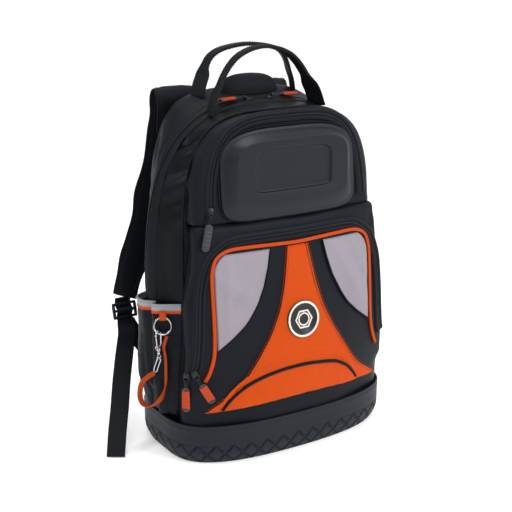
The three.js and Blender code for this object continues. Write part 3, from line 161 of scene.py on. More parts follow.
def spline(points, count):
    """A smooth curve through points (Catmull-Rom), evenly spaced."""
    p = np.asarray(points, float)
    p = np.vstack([2 * p[0] - p[1], p, 2 * p[-1] - p[-2]])
    out = []
    for i in range(1, len(p) - 2):
        t = np.linspace(0, 1, 16, endpoint=False)[:, None]
        a, b, c, d = p[i - 1:i + 3]
        out.append(0.5 * (2 * b + (c - a) * t + (2 * a - 5 * b + 4 * c - d) * t ** 2
                          + (3 * b - a - 3 * c + d) * t ** 3))
    return resample(np.vstack(out + [p[-2:-1]]), count)


def ease_rows(grid, times):
    """Rounds a grid's profile along its rows, apart from the first and last rows."""
    for _ in range(times):
        inner = (grid[:-2] + 2 * grid[1:-1] + grid[2:]) / 4
        grid = np.concatenate([grid[:1], inner, grid[-1:]])
    return grid


# The solids' surfaces
def boot_edge(z):
    rise = np.minimum(1, np.asarray(z, float) / (3 * BOOT_INSET))
    return BOOT_INSET * (1 - rise) ** 2


def boot_outline(inset, steps=176):
    turn = 2 * np.pi * (np.arange(steps) + 0.5) / steps
    angle = np.arctan2(BOOT_D * np.sin(turn), BOOT_W * np.cos(turn))
    inset = np.asarray(inset, float)[..., None]
    a, b = BOOT_W / 2 - inset, BOOT_D / 2 - inset
    x, y = super_point(angle, a, b, BOOT_POWER)
    return x, np.where(y < 0, y - BOOT_BOW * (1 - (x / a) ** 2), y)


def tuck(points, inset=0.0):
    """Moves points inside the boot, and lets them swell out above its rim."""
    points = np.array(points, float)
    flat = points.reshape(-1, 3)
    low = flat[:, 2] < 2.8 * BOOT_H
    p = flat[low]
    x, y = boot_outline(BOOT_WALL + GAP + inset + boot_edge(p[:, 2]))
    x1, y1 = np.roll(x, -1, 1), np.roll(y, -1, 1)
    reach = ((p[:, :1] * (y1 - y) - p[:, 1:2] * (x1 - x)) / (x * y1 - x1 * y)).max(1)
    swell = 1 + 0.25 * smooth(p[:, 2], 1.45 * BOOT_H, 2.8 * BOOT_H)
    p[:, :2] *= np.minimum(1, swell / reach)[:, None]
    flat[low] = p
    return flat.reshape(points.shape)


def body_section(y):
    at = (y - SEAM_Y) / (BACK_Y - SEAM_Y)
    foot, half, top, power = (column(BODY_TABLE, at, k) for k in (1, 2, 3, 4))
    return foot * BAG_HALF, half * BAG_HALF, top * BAG_TOP, power


def body_side(y, z):
    foot, half, _, _ = body_section(y)
    return lerp(foot, half, smooth(z, BODY_FOOT, WAIST))


def body_top(x, y):
    _, half, top, power = body_section(y)
    return WAIST + (top - WAIST) * (1 - (np.abs(x) / half) ** power) ** (1 / power)


def arch(wide, half, top, power, foot, turn, count, low=None, closed=True):
    """The outline of a section: up the right side, over the crown and down the left side."""
    side = np.linspace(foot, turn, 40, endpoint=False)
    out = lerp(wide, half, smooth(side, foot if low is None else low, turn))
    x, z = super_point(np.linspace(0, np.pi, 121), half, top - turn, power)
    xs, zs = [out, x, -out[::-1]], [side, turn + z, side[::-1]]
    if closed:
        xs.append(np.linspace(-out[0], out[0], 42)[1:-1])
        zs.append(np.full(40, foot))
    return resample(np.stack([np.concatenate(xs), np.concatenate(zs)], 1), count, closed)


def body_ring(y, inset=0.0, count=230):
    foot, half, top, power = body_section(y)
    o = arch(foot - inset, half - inset, top - inset, power, BODY_FOOT + inset, WAIST, count)
    return tuck(np.stack([o[:, 0], np.full(count, float(y)), o[:, 1]], 1), inset)


def face_y(x, z):
    x, z = np.asarray(x, float), np.asarray(z, float)
    down = np.clip((POCKET_TOP - z) / (POCKET_TOP - BOOT_H), 0, 1.2)
    ahead = FACE_TOP + FACE_SWELL * np.sin(np.pi / 2 * np.minimum(1, down))
    y = -ahead + lerp(FACE_BOW_TOP, FACE_BOW_FOOT, down) * (x / FACE_HALF) ** 2
    return tuck(np.stack(np.broadcast_arrays(x, y, z), -1))[..., 1]


def upper_face_y(x, z):
    up = (np.asarray(z, float) - POCKET_TOP) / (SHELL_TOP - POCKET_TOP)
    return -lerp(FACE_TOP - 6, FACE_TOP - 17, up) + UPPER_BOW * (np.asarray(x, float) / SHELL_HALF) ** 2


# Meshes
def grid_normals(p, closed=False):
    du = np.gradient(p, axis=0)
    dv = (np.roll(p, -1, 1) - np.roll(p, 1, 1)) if closed else np.gradient(p, axis=1)
    return unit(np.cross(du, dv))


def mesh(name, verts, faces, material, uvs=None, flat=False):
    me = bpy.data.meshes.new(name)
    me.from_pydata((np.asarray(verts, float) * MM).tolist(), [], faces)
    if uvs is not None:
        layer = me.uv_layers.new(name="UVMap")
        layer.data.foreach_set("uv", (np.asarray(uvs, float) * MM).ravel())
    me.materials.append(material)
    bm = bmesh.new()
    bm.from_mesh(me)
    bmesh.ops.recalc_face_normals(bm, faces=bm.faces)
    bm.to_mesh(me)
    bm.free()
    me.polygons.foreach_set("use_smooth", [not flat] * len(me.polygons))
    obj = bpy.data.objects.new(name, me)
    bpy.context.collection.objects.link(obj)
    return obj


def grid(name, p, material, closed=False, caps=False, thick=0.0, slot=None, replaces=()):
    """A surface through rows of points, with a cloth layout in its UVs."""
    p = np.asarray(p, float)
    rows, cols = p.shape[:2]
    wrap = np.concatenate([p, p[:, :1]], 1) if closed else p
    u = np.concatenate([[0], np.cumsum(np.linalg.norm(np.diff(wrap, axis=1), axis=2).max(0))])
    v = np.concatenate([[0], np.cumsum(np.linalg.norm(np.diff(p, axis=0), axis=2).mean(1))])
    faces, uvs = [], []
    for r in range(rows - 1):
        for c in range(cols if closed else cols - 1):
            d = (c + 1) % cols
            faces.append((r * cols + c, r * cols + d, (r + 1) * cols + d, (r + 1) * cols + c))
            uvs += [(u[c], v[r]), (u[c + 1], v[r]), (u[c + 1], v[r + 1]), (u[c], v[r + 1])]
    verts = p.reshape(-1, 3)
    if caps:
        for r in (0, rows - 1):
            faces.append(tuple(r * cols + c for c in range(cols)))
            uvs += [(q[0], q[2]) for q in p[r]]
    obj = mesh(name, verts, faces, material, uvs)
    if thick:
        m = obj.modifiers.new("thickness", "SOLIDIFY")
        m.thickness = thick * MM
        m.offset = -1
    return settle(obj, BAG, slot, replaces)


def settle(obj, body=BAG, slot=None, replaces=()):
    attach(obj, body)
    slot or SLOT_OF[obj.data.materials[0].name]
    if replaces:
        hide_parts(*([replaces] if isinstance(replaces, str) else replaces))
    return obj


def joined(name, parts, material, body=BAG, slot=None, replaces=(), flat=False):
    """One object from several (verts, faces) pairs."""
    verts, faces, start = [], [], 0
    for v, f in parts:
        verts.append(np.asarray(v, float))
        faces += [tuple(i + start for i in q) for q in f]
        start += len(v)
    return settle(mesh(name, np.vstack(verts), faces, material, flat=flat), body, slot, replaces)


def square_on(path, across):
    """Across and normal at each point of a path, with across turned square to it."""
    tangent = unit(np.gradient(path, axis=0))
    across = unit(across - (across * tangent).sum(1, keepdims=True) * tangent)
    return across, np.cross(tangent, across)


def ribbon(path, across, normal, section, swell=1):
    """Rings of a section along a path."""
    return (path[:, None] + across[:, None] * section[None, :, :1]
            + normal[:, None] * section[None, :, 1:] * swell)


def sweep(path, section, up, closed=False):
    """Rings of a section along a path, with normals near up."""
    ahead = np.roll(path, -1, 0) - np.roll(path, 1, 0) if closed else np.gradient(path, axis=0)
    t = unit(ahead)
    across = unit(np.cross(np.broadcast_to(np.asarray(up, float), path.shape), t))
    return ribbon(path, across, unit(np.cross(t, across)), section)


def ring_faces(rows, cols, closed_rows=False, caps=True):
    faces = []
    for r in range(rows if closed_rows else rows - 1):
        a, b = r * cols, ((r + 1) % rows) * cols
        faces += [(a + c, a + (c + 1) % cols, b + (c + 1) % cols, b + c) for c in range(cols)]
    if caps and not closed_rows:
        faces += [tuple(range(cols - 1, -1, -1)), tuple((rows - 1) * cols + c for c in range(cols))]
    return faces


def skin(p):
    """Rings of points as a closed body."""
    return p.reshape(-1, 3), ring_faces(*p.shape[:2])


def tube(path, diameter, sides=10, closed=False, up=(0.13, 0.21, 0.97)):
    a = 2 * np.pi * np.arange(sides) / sides
    section = np.stack([np.cos(a), np.sin(a)], 1) * diameter / 2
    p = sweep(np.asarray(path, float), section, up, closed=closed)
    return p.reshape(-1, 3), ring_faces(len(path), sides, closed)


def strap_section(width, thick, edge=0.35, sides=24):
    """A flat section with rounded edges."""
    a = 2 * np.pi * (np.arange(sides) + 0.5) / sides
    return np.stack([signed_power(np.cos(a), edge) * width / 2, signed_power(np.sin(a), 0.7) * thick / 2],
                    1)


def rounded_box(size, centre=(0, 0, 0), power=5.0, steps=(10, 20)):
    """A box with soft edges, as a superellipsoid."""
    rows, cols = steps
    verts = []
    for i in range(rows + 1):
        v = -np.pi / 2 + np.pi * i / rows
        for j in range(cols):
            u = 2 * np.pi * j / cols
            d = np.array([math.cos(v) * math.cos(u), math.cos(v) * math.sin(u), math.sin(v)])
            n = (np.abs(d) ** power).sum() ** (-1 / power)
            verts.append(np.asarray(centre) + d * n * np.asarray(size) / 2)
    faces = ring_faces(rows + 1, cols, caps=False)
    return np.array(verts), faces


def lathe(profile, section=None):
    """A closed body from (radius, height) rows about +Z."""
    if section is None:
        a = 2 * np.pi * np.arange(72) / 72
        section = np.stack([np.cos(a), np.sin(a)], 1)
    rows = [np.concatenate([section * rad, np.full((len(section), 1), h)], 1) for rad, h in profile]
    return np.vstack(rows), ring_faces(len(rows), len(section))


def frame_matrix(x, y, z, at):
    m = np.eye(4)
    m[:3, 0], m[:3, 1], m[:3, 2], m[:3, 3] = x, y, z, at
    return m


def placed(name, parts, matrix, material, **where):
    """One object from parts that are drawn in a frame of their own."""
    return joined(name, [moved(part, matrix) for part in parts], material, **where)


def moved(part, matrix):
    v = np.asarray(part[0], float)
    return v @ matrix[:3, :3].T + matrix[:3, 3], part[1]


def stitches(name, path, normal, material, pitch=3.4, length=2.3, wide=0.55, proud=0.45, slot=None):
    """A row of separate thread stitches that lie on a surface along a path."""
    path = np.asarray(path, float)
    total = np.linalg.norm(np.diff(path, axis=0), axis=1).sum()
    count = max(2, int(total / pitch))
    at = resample(path, 2 * count + 1)
    n = np.broadcast_to(np.asarray(normal, float), path.shape)
    n = unit(resample(np.concatenate([path, n], 1), 2 * count + 1)[:, 3:])
    parts = []
    for i in range(1, 2 * count, 2):
        t = unit(at[i + 1] - at[i - 1])
        parts.append(moved(thread(length, wide, proud), frame_matrix(t, unit(np.cross(n[i], t)), n[i],
                                                                     at[i])))
    return joined(name, parts, material, slot=slot)


def thread(length, wide, proud):
    """One stitch: a short hump with eight corners at its foot and four on top."""
    l, w, h = length / 2, wide / 2, proud
    v = [(-l, -w * 0.6, -0.3), (-l, w * 0.6, -0.3), (l, w * 0.6, -0.3), (l, -w * 0.6, -0.3),
         (-l * 0.5, -w, h * 0.6), (-l * 0.5, w, h * 0.6), (l * 0.5, w, h * 0.6), (l * 0.5, -w, h * 0.6),
         (-l * 0.4, 0, h), (l * 0.4, 0, h)]
    f = [(0, 1, 5, 4), (1, 2, 6, 5), (2, 3, 7, 6), (3, 0, 4, 7), (4, 5, 8), (6, 7, 9), (5, 6, 9, 8),
         (7, 4, 8, 9)]
    return np.array(v), f


# Materials
FLOOR_GLOW = 0.3
LIT_FROM = (0.72, -0.55, 0.42)
COOL = (0.8, 0.9, 1.0, 1)
SLOT_OF = {}


def put(tree, socket, value):
    """Links a socket's source to it, or sets its plain value."""
    if isinstance(value, bpy.types.NodeSocket):
        tree.links.new(value, socket)
    elif value is not None:
        socket.default_value = value


def add_node(tree, kind, *inputs, **values):
    """A shader node, with inputs in their order and then settings or inputs by name."""
    n = tree.nodes.new("ShaderNode" + kind)
    for key in [k for k in values if hasattr(n, k)]:
        setattr(n, key, values.pop(key))
    for socket, value in zip(n.inputs, inputs):
        put(tree, socket, value)
    for key, value in values.items():
        put(tree, n.inputs[key.replace("_", " ")], value)
    return n


def blotches(tree, place, scale, detail, rough):
    return add_node(tree, "TexNoise", Vector=place, Scale=scale, Detail=detail,
                    Roughness=rough).outputs["Fac"]


def mixed(tree, factor, dark, light, blend="MIX"):
    mix = add_node(tree, "Mix", factor, data_type="RGBA", blend_type=blend)
    put(tree, mix.inputs[6], dark)
    put(tree, mix.inputs[7], light)
    return mix.outputs[2]


def tones(colour, share):
    """A darker and a lighter tone of a colour."""
    return [(*(min(1, c * (1 + s * share)) for c in colour), 1) for s in (-1, 1)]


def surface(name, slot):
    """An empty material, its nodes, where a point lies on the piece, and its shader."""
    mat = bpy.data.materials.new(name)
    mat.use_nodes = True
    SLOT_OF[mat.name] = slot
    place = add_node(mat.node_tree, "TexCoord").outputs["Object"]
    return mat, mat.node_tree, place, mat.node_tree.nodes["Principled BSDF"]


def finish(tree, bsdf, **values):
    for key, value in values.items():
        put(tree, bsdf.inputs[key.replace("_", " ")], value)


def fabric(name, slot, colour, pitch=1.3, bump=0.35, rough=0.6, mottle=0.18, depth=0.00025, crumple=0.3,
           specular=0.14):
    """Coated woven cloth: a basket weave from the UVs with painted shade in its dips and painted highlight
    on its crowns, soft mottling and small crumples.
    """
    mat, tree, place, bsdf = surface(name, slot)
    uv = add_node(tree, "UVMap").outputs[0]
    waves = [add_node(tree, "TexWave", uv, wave_type="BANDS", bands_direction=direction, Detail=1.0,
                      Scale=0.314 / (pitch * MM), Distortion=0.6).outputs["Fac"] for direction in "XY"]
    weave = add_node(tree, "Math", *waves, operation="MULTIPLY").outputs[0]
    broad, fine = blotches(tree, place, 14.0, 4.0, 0.6), blotches(tree, place, 260.0, 3.0, 0.6)
    half = add_node(tree, "Math", broad, 0.5, operation="MULTIPLY").outputs[0]
    blend = add_node(tree, "Math", fine, 0.5, half, operation="MULTIPLY_ADD").outputs[0]
    # Darker in the dips of the weave and lighter on its crowns: painted shade and painted highlight on the
    # threads, multiplied into the base colour
    tone = add_node(tree, "MapRange", weave, To_Min=0.82, To_Max=1.12).outputs[0]
    folds = blotches(tree, place, 26.0, 3.0, 0.5)
    soft = add_node(tree, "Bump", Strength=crumple, Distance=0.003, Height=folds).outputs[0]
    relief = add_node(tree, "Bump", Strength=bump, Distance=depth, Height=weave, Normal=soft).outputs[0]
    base = mixed(tree, blend, *tones(colour, 1.4 * mottle))
    finish(tree, bsdf, Base_Color=mixed(tree, 1.0, base, tone, "MULTIPLY"), Normal=relief, Roughness=rough,
           Specular_IOR_Level=specular, Specular_Tint=COOL)
    return mat


def moulded(name, slot, colour, rough=0.45, grain=420.0, bump=0.25, metal=0.0, mottle=0.1, specular=0.5,
            glow=0.0):
    """Moulded plastic, rubber or metal: a fine grain, with slight changes in tone and gloss."""
    mat, tree, place, bsdf = surface(name, slot)
    fine, broad = blotches(tree, place, grain, 4.0, 0.65), blotches(tree, place, 18.0, 5.0, 0.6)
    gloss = add_node(tree, "MapRange", broad, To_Min=rough * 0.85, To_Max=min(1, rough * 1.2)).outputs[0]
    relief = add_node(tree, "Bump", Strength=bump, Distance=0.0002, Height=fine).outputs[0]
    finish(tree, bsdf, Base_Color=mixed(tree, broad, *tones(colour, mottle)), Roughness=gloss,
           Normal=relief,
           Metallic=metal, Specular_IOR_Level=specular, Specular_Tint=None if metal else COOL,
           Emission_Color=(1, 1, 1, 1) if glow else None, Emission_Strength=glow or None)
    return mat


CLOTH_MAT = fabric("coated_cloth", "body_fabric", (0.0052, 0.0061, 0.0085), pitch=1.5, rough=0.5,
                   specular=0.13)
# The same coated cloth as coated_cloth, made darker and glossier: painted shade for the front strip of the
# main compartment and the side pockets, as those sides of the bag lie in shadow
SHADED_SIDE_MAT = fabric("side_cloth_painted_shade", "body_fabric", (0.0022, 0.0028, 0.0041), pitch=1.5, rough=0.4,
                  specular=0.14)
PAD_MAT = fabric("pad_cloth", "pad_fabric", (0.0055, 0.006, 0.008), pitch=2.2, bump=0.5)
MESH_MAT = fabric("spacer_mesh", "pad_fabric", (0.007, 0.0075, 0.009), pitch=3.2, bump=0.8, depth=0.0006)
WEB_MAT = fabric("webbing", "webbing", (0.0062, 0.0066, 0.0088), pitch=1.8, bump=0.8, depth=0.0006,
                 crumple=0.1)
TAPE_MAT = fabric("zip_tape", "zip_tape", (0.0035, 0.0036, 0.0042), pitch=0.9, bump=0.4)
ORANGE_MAT = fabric("orange_cloth", "orange_fabric", (0.54, 0.062, 0.003), pitch=1.3, mottle=0.1,
                    specular=0.1)
PIPE_MAT = fabric("orange_piping", "orange_fabric", (0.60, 0.066, 0.004), pitch=0.9, mottle=0.08,
                  specular=0.12)
LANYARD_MAT = fabric("lanyard_webbing", "orange_fabric", (0.42, 0.055, 0.006), pitch=1.9, bump=0.9,
                     depth=0.0006, mottle=0.15)
GREY_MAT = fabric("grey_cloth", "grey_fabric", (0.27, 0.236, 0.27), pitch=1.2, mottle=0.12, rough=0.5,
                  specular=0.6, depth=0.0004)
BAND_MAT = fabric("band_cloth", "band_fabric", (0.30, 0.31, 0.33), pitch=1.0, mottle=0.1, specular=0.4)
BIND_MAT = fabric("dark_binding", "body_fabric", (0.0045, 0.0047, 0.0055), pitch=1.0)
STITCH_MAT = moulded("thread", "body_fabric", (0.006, 0.0062, 0.007), rough=0.7, grain=900.0)
ORANGE_THREAD = moulded("orange_thread", "orange_fabric", (0.36, 0.05, 0.006), rough=0.7, grain=900.0)
BOOT_MAT = moulded("boot_rubber", "boot_rubber", (0.0062, 0.0078, 0.0112), rough=0.5, grain=900.0, bump=0.4,
                   specular=0.25)
SHELL_MAT = moulded("shell_plastic", "shell_plastic", (0.0042, 0.005, 0.0074), rough=0.4, grain=1500.0,
                    bump=0.5, specular=0.3)
BUCKLE_MAT = moulded("buckle_plastic", "buckle_plastic", (0.0045, 0.0047, 0.0055), rough=0.38, specular=0.4)
STEEL_MAT = moulded("plated_steel", "steel", (0.46, 0.46, 0.48), rough=0.22, metal=1.0, grain=300.0,
                    bump=0.05)
DARK_METAL = moulded("black_plated", "dark_metal", (0.03, 0.03, 0.034), rough=0.3, metal=0.9, grain=300.0,
                     bump=0.05)
GRIP_MAT = moulded("orange_grip", "orange_grip", (0.40, 0.045, 0.005), rough=0.5, grain=700.0, specular=0.2)
GREY_GRIP = moulded("grey_grip", "grey_grip", (0.022, 0.024, 0.03), rough=0.45, grain=700.0, specular=0.4)
BADGE_MAT = moulded("badge_black", "badge_rubber", (0.006, 0.006, 0.008), rough=0.4, grain=700.0,
                    specular=0.4)
CREAM_MAT = moulded("badge_cream", "badge_rubber", (0.70, 0.66, 0.57), rough=0.5, grain=700.0)
FLOOR_MAT = moulded("floor", None, (0.90, 0.90, 0.90), rough=0.8, grain=60.0, bump=0.02, mottle=0.01,
                    glow=FLOOR_GLOW)


# Camera, floor and lights
def camera():
    azimuth, elevation, distance = math.radians(-32), math.radians(16.4), 1.5414
    target = Vector((-0.00865, 0.00541, 0.2551))
    level = math.cos(elevation)
    back = Vector((math.sin(azimuth) * level, -math.cos(azimuth) * level, math.sin(elevation)))
    data = bpy.data.cameras.new("camera")
    data.sensor_width = 36
    data.lens = 36 * 1079 / 512
    cam = bpy.data.objects.new("camera", data)
    cam.location = target + back * distance
    cam.rotation_euler = back.to_track_quat("Z", "Y").to_euler()
    bpy.context.collection.objects.link(cam)
    bpy.context.scene.camera = cam
    bpy.context.scene.view_settings.view_transform = "Standard"


def area_light(name, place, size, power, target=(0, 0, 0.25)):
    data = bpy.data.lights.new(name, "AREA")
    data.size = size
    data.energy = power
    obj = bpy.data.objects.new(name, data)
    obj.location = place
    obj.rotation_euler = (Vector(place) - Vector(target)).to_track_quat("Z", "Y").to_euler()
    bpy.context.collection.objects.link(obj)


def studio():
    v = [(-25000, -25000, 0), (25000, -25000, 0), (25000, 25000, 0), (-25000, 25000, 0)]
    floor = mesh("floor", np.array(v) - [0, 0, 0.2], [(0, 1, 2, 3)], FLOOR_MAT, flat=True)
    world = bpy.data.worlds.new("studio")
    world.use_nodes = True
    tree = world.node_tree
    facing = add_node(tree, "VectorMath", add_node(tree, "TexCoord").outputs["Generated"], LIT_FROM,
                      operation="DOT_PRODUCT").outputs["Value"]
    strength = add_node(tree, "MapRange", facing, From_Min=-0.75, From_Max=0.75, To_Min=0.15,
                        To_Max=1.15).outputs[0]
    seen = add_node(tree, "LightPath").outputs["Is Camera Ray"]
    pale = add_node(tree, "Math", strength, seen, operation="MAXIMUM").outputs[0]
    finish(tree, tree.nodes["Background"], Color=(1, 1, 1, 1), Strength=pale)
    bpy.context.scene.world = world
    area_light("key", (0.75, -1.7, 1.35), 0.7, 16)
    area_light("top", (0.0, 0.1, 1.9), 0.8, 11)
    area_light("side", (-1.5, 0.35, 1.3), 0.3, 8)
    area_light("rim", (-1.1, -1.2, 1.5), 0.25, 4)


camera()
studio()

# Folds: each runs between two points, with a depth (in is negative) and a half width
FOLD_GAIN = 1.7
FOLDS = [
    ((-118, -34, 450), (-133, -2, 428), -4.5, 5), ((-128, -32, 424), (-141, 4, 402), 3.0, 7),
    ((-134, -33, 404), (-150, 0, 384), -5.0, 6), ((-139, -34, 384), (-156, 3, 366), 3.0, 7),
    ((-141, -34, 366), (-160, -2, 344), -4.0, 7), ((-142, -34, 340), (-158, 0, 318), 2.5, 8),
    ((-143, -33, 318), (-150, -22, 250), -2.5, 8), ((-168, 2, 300), (-176, 4, 240), 2.0, 10),
    ((-158, -14, 300), (-164, -12, 236), -2.5, 9), ((-150, 40, 385), (-128, 66, 430), -2.5, 9),
    ((-160, 34, 340), (-150, 66, 300), -2.5, 12), ((-168, 28, 280), (-156, 62, 246), 2.0, 12),
    ((124, -30, 446), (134, -6, 424), -3.5, 6), ((130, -30, 420), (142, 2, 392), 3.0, 8),
    ((140, -30, 380), (154, 2, 352), -3.0, 9), ((150, -20, 330), (160, 0, 280), -2.5, 10),
    ((150, 50, 385), (120, 74, 440), -2.0, 12), ((-140, -60, 318), (-128, -80, 300), -3.5, 7),
    ((-146, -44, 322), (-150, -50, 250), -2.5, 9), ((-150, -56, 262), (-158, -62, 176), 2.5, 9),
    ((-160, -44, 190), (-162, -52, 110), -2.5, 10), ((140, -60, 318), (128, -80, 300), -3.0, 7),
]


def crumple(p, amount=0.8, closed=True, seed=3):
    """Moves a cloth surface in and out: broad waves, small crumples and the named folds."""
    n = grid_normals(p, closed)
    centre = np.array([0, 20, 240])
    n *= np.sign((n * (p - centre)).sum(-1, keepdims=True) + 1e-9)
    out = amount * (0.9 * noise(p, 120, seed) + 0.45 * noise(p, 38, seed + 1) + 0.16 * noise(p, 14,
                                                                                             seed + 2))
    for a, b, depth, wide in FOLDS:
        a, b = np.array(a, float), np.array(b, float)
        t = np.clip(((p - a) @ (b - a)) / ((b - a) @ (b - a)), 0, 1)
        d = np.linalg.norm(p - (a + t[..., None] * (b - a)), axis=-1)
        out = out + FOLD_GAIN * depth * bell(d, wide) * (0.6 + 0.4 * np.sin(np.pi * t))
    return p + n * out[..., None]


# Main compartment
def main_compartment():
    rows = [(11.2, 2.2), (10.6, 0.8), (11, 0.0), (13, 0)] + [(y, 0) for y in np.linspace(16, 76, 22)]
    rows += [(79, 0.4), (82, 1.2), (85, 2.8), (87, 5.5), (88, 10)]
    p = np.array([body_ring(y, inset) for y, inset in rows])
    last = p[-1]
    middle = np.array([0, BACK_Y, 240.0])
    shrink = [middle + (last - middle) * s for s in (0.85, 0.65, 0.45, 0.25, 0.08)]
    p = np.concatenate([p, shrink])
    p[4:-5] = crumple(p[4:-5], 0.7)
    grid("main_rear", p, CLOTH_MAT, closed=True, caps=True, replaces="main_compartment_rear")
    rows = [(4.8, 2.2), (5.4, 0.8), (5, 0.0), (3, 0)] + [(y, 0) for y in np.linspace(1, -33, 16)]
    rows += [(-35.5, 0.6), (-37, 2.2), (-37, 6), (-37, 20), (-37, 60)]
    p = np.array([body_ring(y, inset) for y, inset in rows])
    p[4:-3] = crumple(p[4:-3], 0.7, seed=11)
    # The front strip wears the darker copy of the cloth: painted shade
    grid("main_front", p, SHADED_SIDE_MAT, closed=True, caps=True, replaces="main_compartment_front")


def body_line(y, out, z_from=68, count=260):
    """A line over the main compartment from foot to foot at one y, raised by out, with its normals."""
    foot, half, top, power = body_section(y)
    o = arch(foot, half, top, power, z_from, WAIST, count, BODY_FOOT, False)
    p = tuck(np.stack([o[:, 0], np.full(count, float(y)), o[:, 1]], 1))
    t = unit(np.gradient(p, axis=0))
    n = unit(np.cross(t, [0, 1, 0]))
    n *= np.sign((n * (p - [0, y, 200])).sum(1, keepdims=True))
    return p + n * out, n


def storm_flap(name, y_free, y_sewn):
    """A flap of doubled cloth that covers one half of the main zip."""
    rows = []
    for t, out in ((0, 0.4), (0, 1.5), (0.06, 2.0), (0.25, 2.1), (0.5, 1.9), (0.8, 1.5), (1, 0.9),
                   (1.02, -0.6)):
        rows.append(body_line(lerp(y_free, y_sewn, t), out)[0])
    grid(name, crumple(np.array(rows), 0.25, closed=False, seed=5), CLOTH_MAT)


def main_zip():
    tape = [body_line(y, out)[0] for y, out in ((5, -0.7), (6.3, -0.4), (8, -0.3), (9.7, -0.4), (11, -0.7))]
    grid("main_zip_tape", tape, TAPE_MAT, replaces="main_zip")
    zip_teeth("main_zip_teeth", *body_line(ZIP_Y, 0.2))
    storm_flap("flap_front", 6.9, -4.5)
    storm_flap("flap_rear", 9.1, 20)
    for name, y in (("flap_front", -2.5), ("flap_rear", 18)):
        p, n = body_line(y, 1.2)
        stitches(f"{name}_stitch", p, n, STITCH_MAT)
    welt, _ = body_line(SEAM_Y + 1, 1.0)
    joined("front_seam_welt", [tube(welt, 3.4, 8, up=(0, 1, 0.01))], BIND_MAT)


def zip_teeth(name, path, normals, pitch=1.7, wide=3.4):
    """The two rows of a coil, each tooth reaching over the middle in turn."""
    total = np.linalg.norm(np.diff(path, axis=0), axis=1).sum()
    both = resample(np.concatenate([path, normals], 1), int(total / pitch) + 1)
    at, n = both[:, :3], unit(both[:, 3:])
    t = unit(np.gradient(at, axis=0))
    parts = []
    for i in range(len(at)):
        y = np.cross(n[i], t[i])
        m = frame_matrix(t[i], y, n[i], at[i] + y * (0.35 if i % 2 else -0.35))
        l, w, h = pitch * 0.36, wide / 2, 0.75
        v = [(-l, -w, -0.3), (l, -w, -0.3), (l, w, -0.3), (-l, w, -0.3),
             (-l * 0.6, -w * 0.75, h), (l * 0.6, -w * 0.75, h), (l * 0.6, w * 0.75, h),
             (-l * 0.6, w * 0.75, h)]
        f = [(0, 1, 5, 4), (1, 2, 6, 5), (2, 3, 7, 6), (3, 0, 4, 7), (4, 5, 6, 7)]
        parts.append(moved((np.array(v), f), m))
    joined(name, parts, BUCKLE_MAT, slot="zip_tape")


# Front pockets
def pocket_rows(ring, face_at, inner, middle):
    rows = [ring(d) for d in np.linspace(0, 1, 26)]
    edge = rows[-1]
    face = []
    for s in inner:
        q = middle + (edge - middle) * s
        q[:, 1] = face_at(q[:, 0], q[:, 2])
        face.append(tuck(q))
    return ease_rows(np.array(rows + face), 3)


def upper_pocket():
    foot, turn, rear = POCKET_TOP + 0.6, 0.9 * POCKET_TOP, SEAM_Y + 0.5

    def ring(depth):
        half, top, power = (column(UPPER_TABLE, depth, k) for k in (1, 2, 3))
        half, top = half * BAG_HALF, top * BAG_TOP
        start = math.asin(((foot - turn) / (top - turn)) ** (power / 2))
        a = np.linspace(start, np.pi - start, 160)
        x = half * signed_power(np.cos(a), 2 / power)
        z = turn + (top - turn) * np.sin(a) ** (2 / power)
        base = np.linspace(x[-1], x[0], 40)[1:-1]
        o = resample(np.stack([np.concatenate([x, base]), np.concatenate([z, np.full(38, foot)])], 1), 240,
                     True)
        return np.stack([o[:, 0], lerp(rear, upper_face_y(o[:, 0], o[:, 1]), depth), o[:, 1]], 1)

    p = pocket_rows(ring, upper_face_y, np.linspace(0.98, 0.1, 22), np.array([0, -66, 385.0]))
    grid("upper_pocket_skin", crumple(p, 0.45, seed=21), CLOTH_MAT, closed=True, caps=True,
         replaces="upper_pocket")


def upper_zip_route(count=260):
    half, top, turn, power = SHELL_HALF + 15, SHELL_TOP + 13, 0.9 * POCKET_TOP, 3.7
    start = math.asin(((SHELL_FOOT + 14 - turn) / (top - turn)) ** (power / 2))
    a = np.linspace(np.pi - start, start, count * 2)
    x = half * signed_power(np.cos(a), 2 / power)
    return resample(np.stack([x, turn + (top - turn) * np.sin(a) ** (2 / power)], 1), count)


def on_face(route, out, face_at):
    x, z = route[:, 0], route[:, 1]
    return np.stack([x, face_at(x, z) - out, z], 1)


def beside(route, offset):
    t = unit(np.gradient(route, axis=0))
    return route + np.stack([t[:, 1], -t[:, 0]], 1) * offset


def zip_on_face(name, route, face_at, replaces):
    tape = [on_face(beside(route, s), out, face_at) for s, out in ((-4.6, -0.3), (-4, 0.9), (-2, 1.3),
                                                                   (2, 1.3), (4, 0.9), (4.6, -0.3))]
    grid(f"{name}_tape", tape, TAPE_MAT, replaces=replaces)
    zip_teeth(f"{name}_teeth", on_face(route, 1.5, face_at), np.broadcast_to([0, -1.0, 0], (len(route), 3)),
              wide=3.0)
    for side in (-1, 1):
        lip = [on_face(beside(route, side * s), out, face_at) for s, out in
               ((2.3, 1.2), (2.4, 2.2), (3.2, 2.6), (5, 2.5), (7, 1.9), (8.2, 1.1), (8.8, -0.4))]
        grid(f"{name}_lip_{'in' if side < 0 else 'out'}", lip, CLOTH_MAT)
        line = on_face(beside(route, side * 5.6), 2.45, face_at)
        stitches(f"{name}_stitch_{'in' if side < 0 else 'out'}", line, (0, -1, 0), STITCH_MAT)


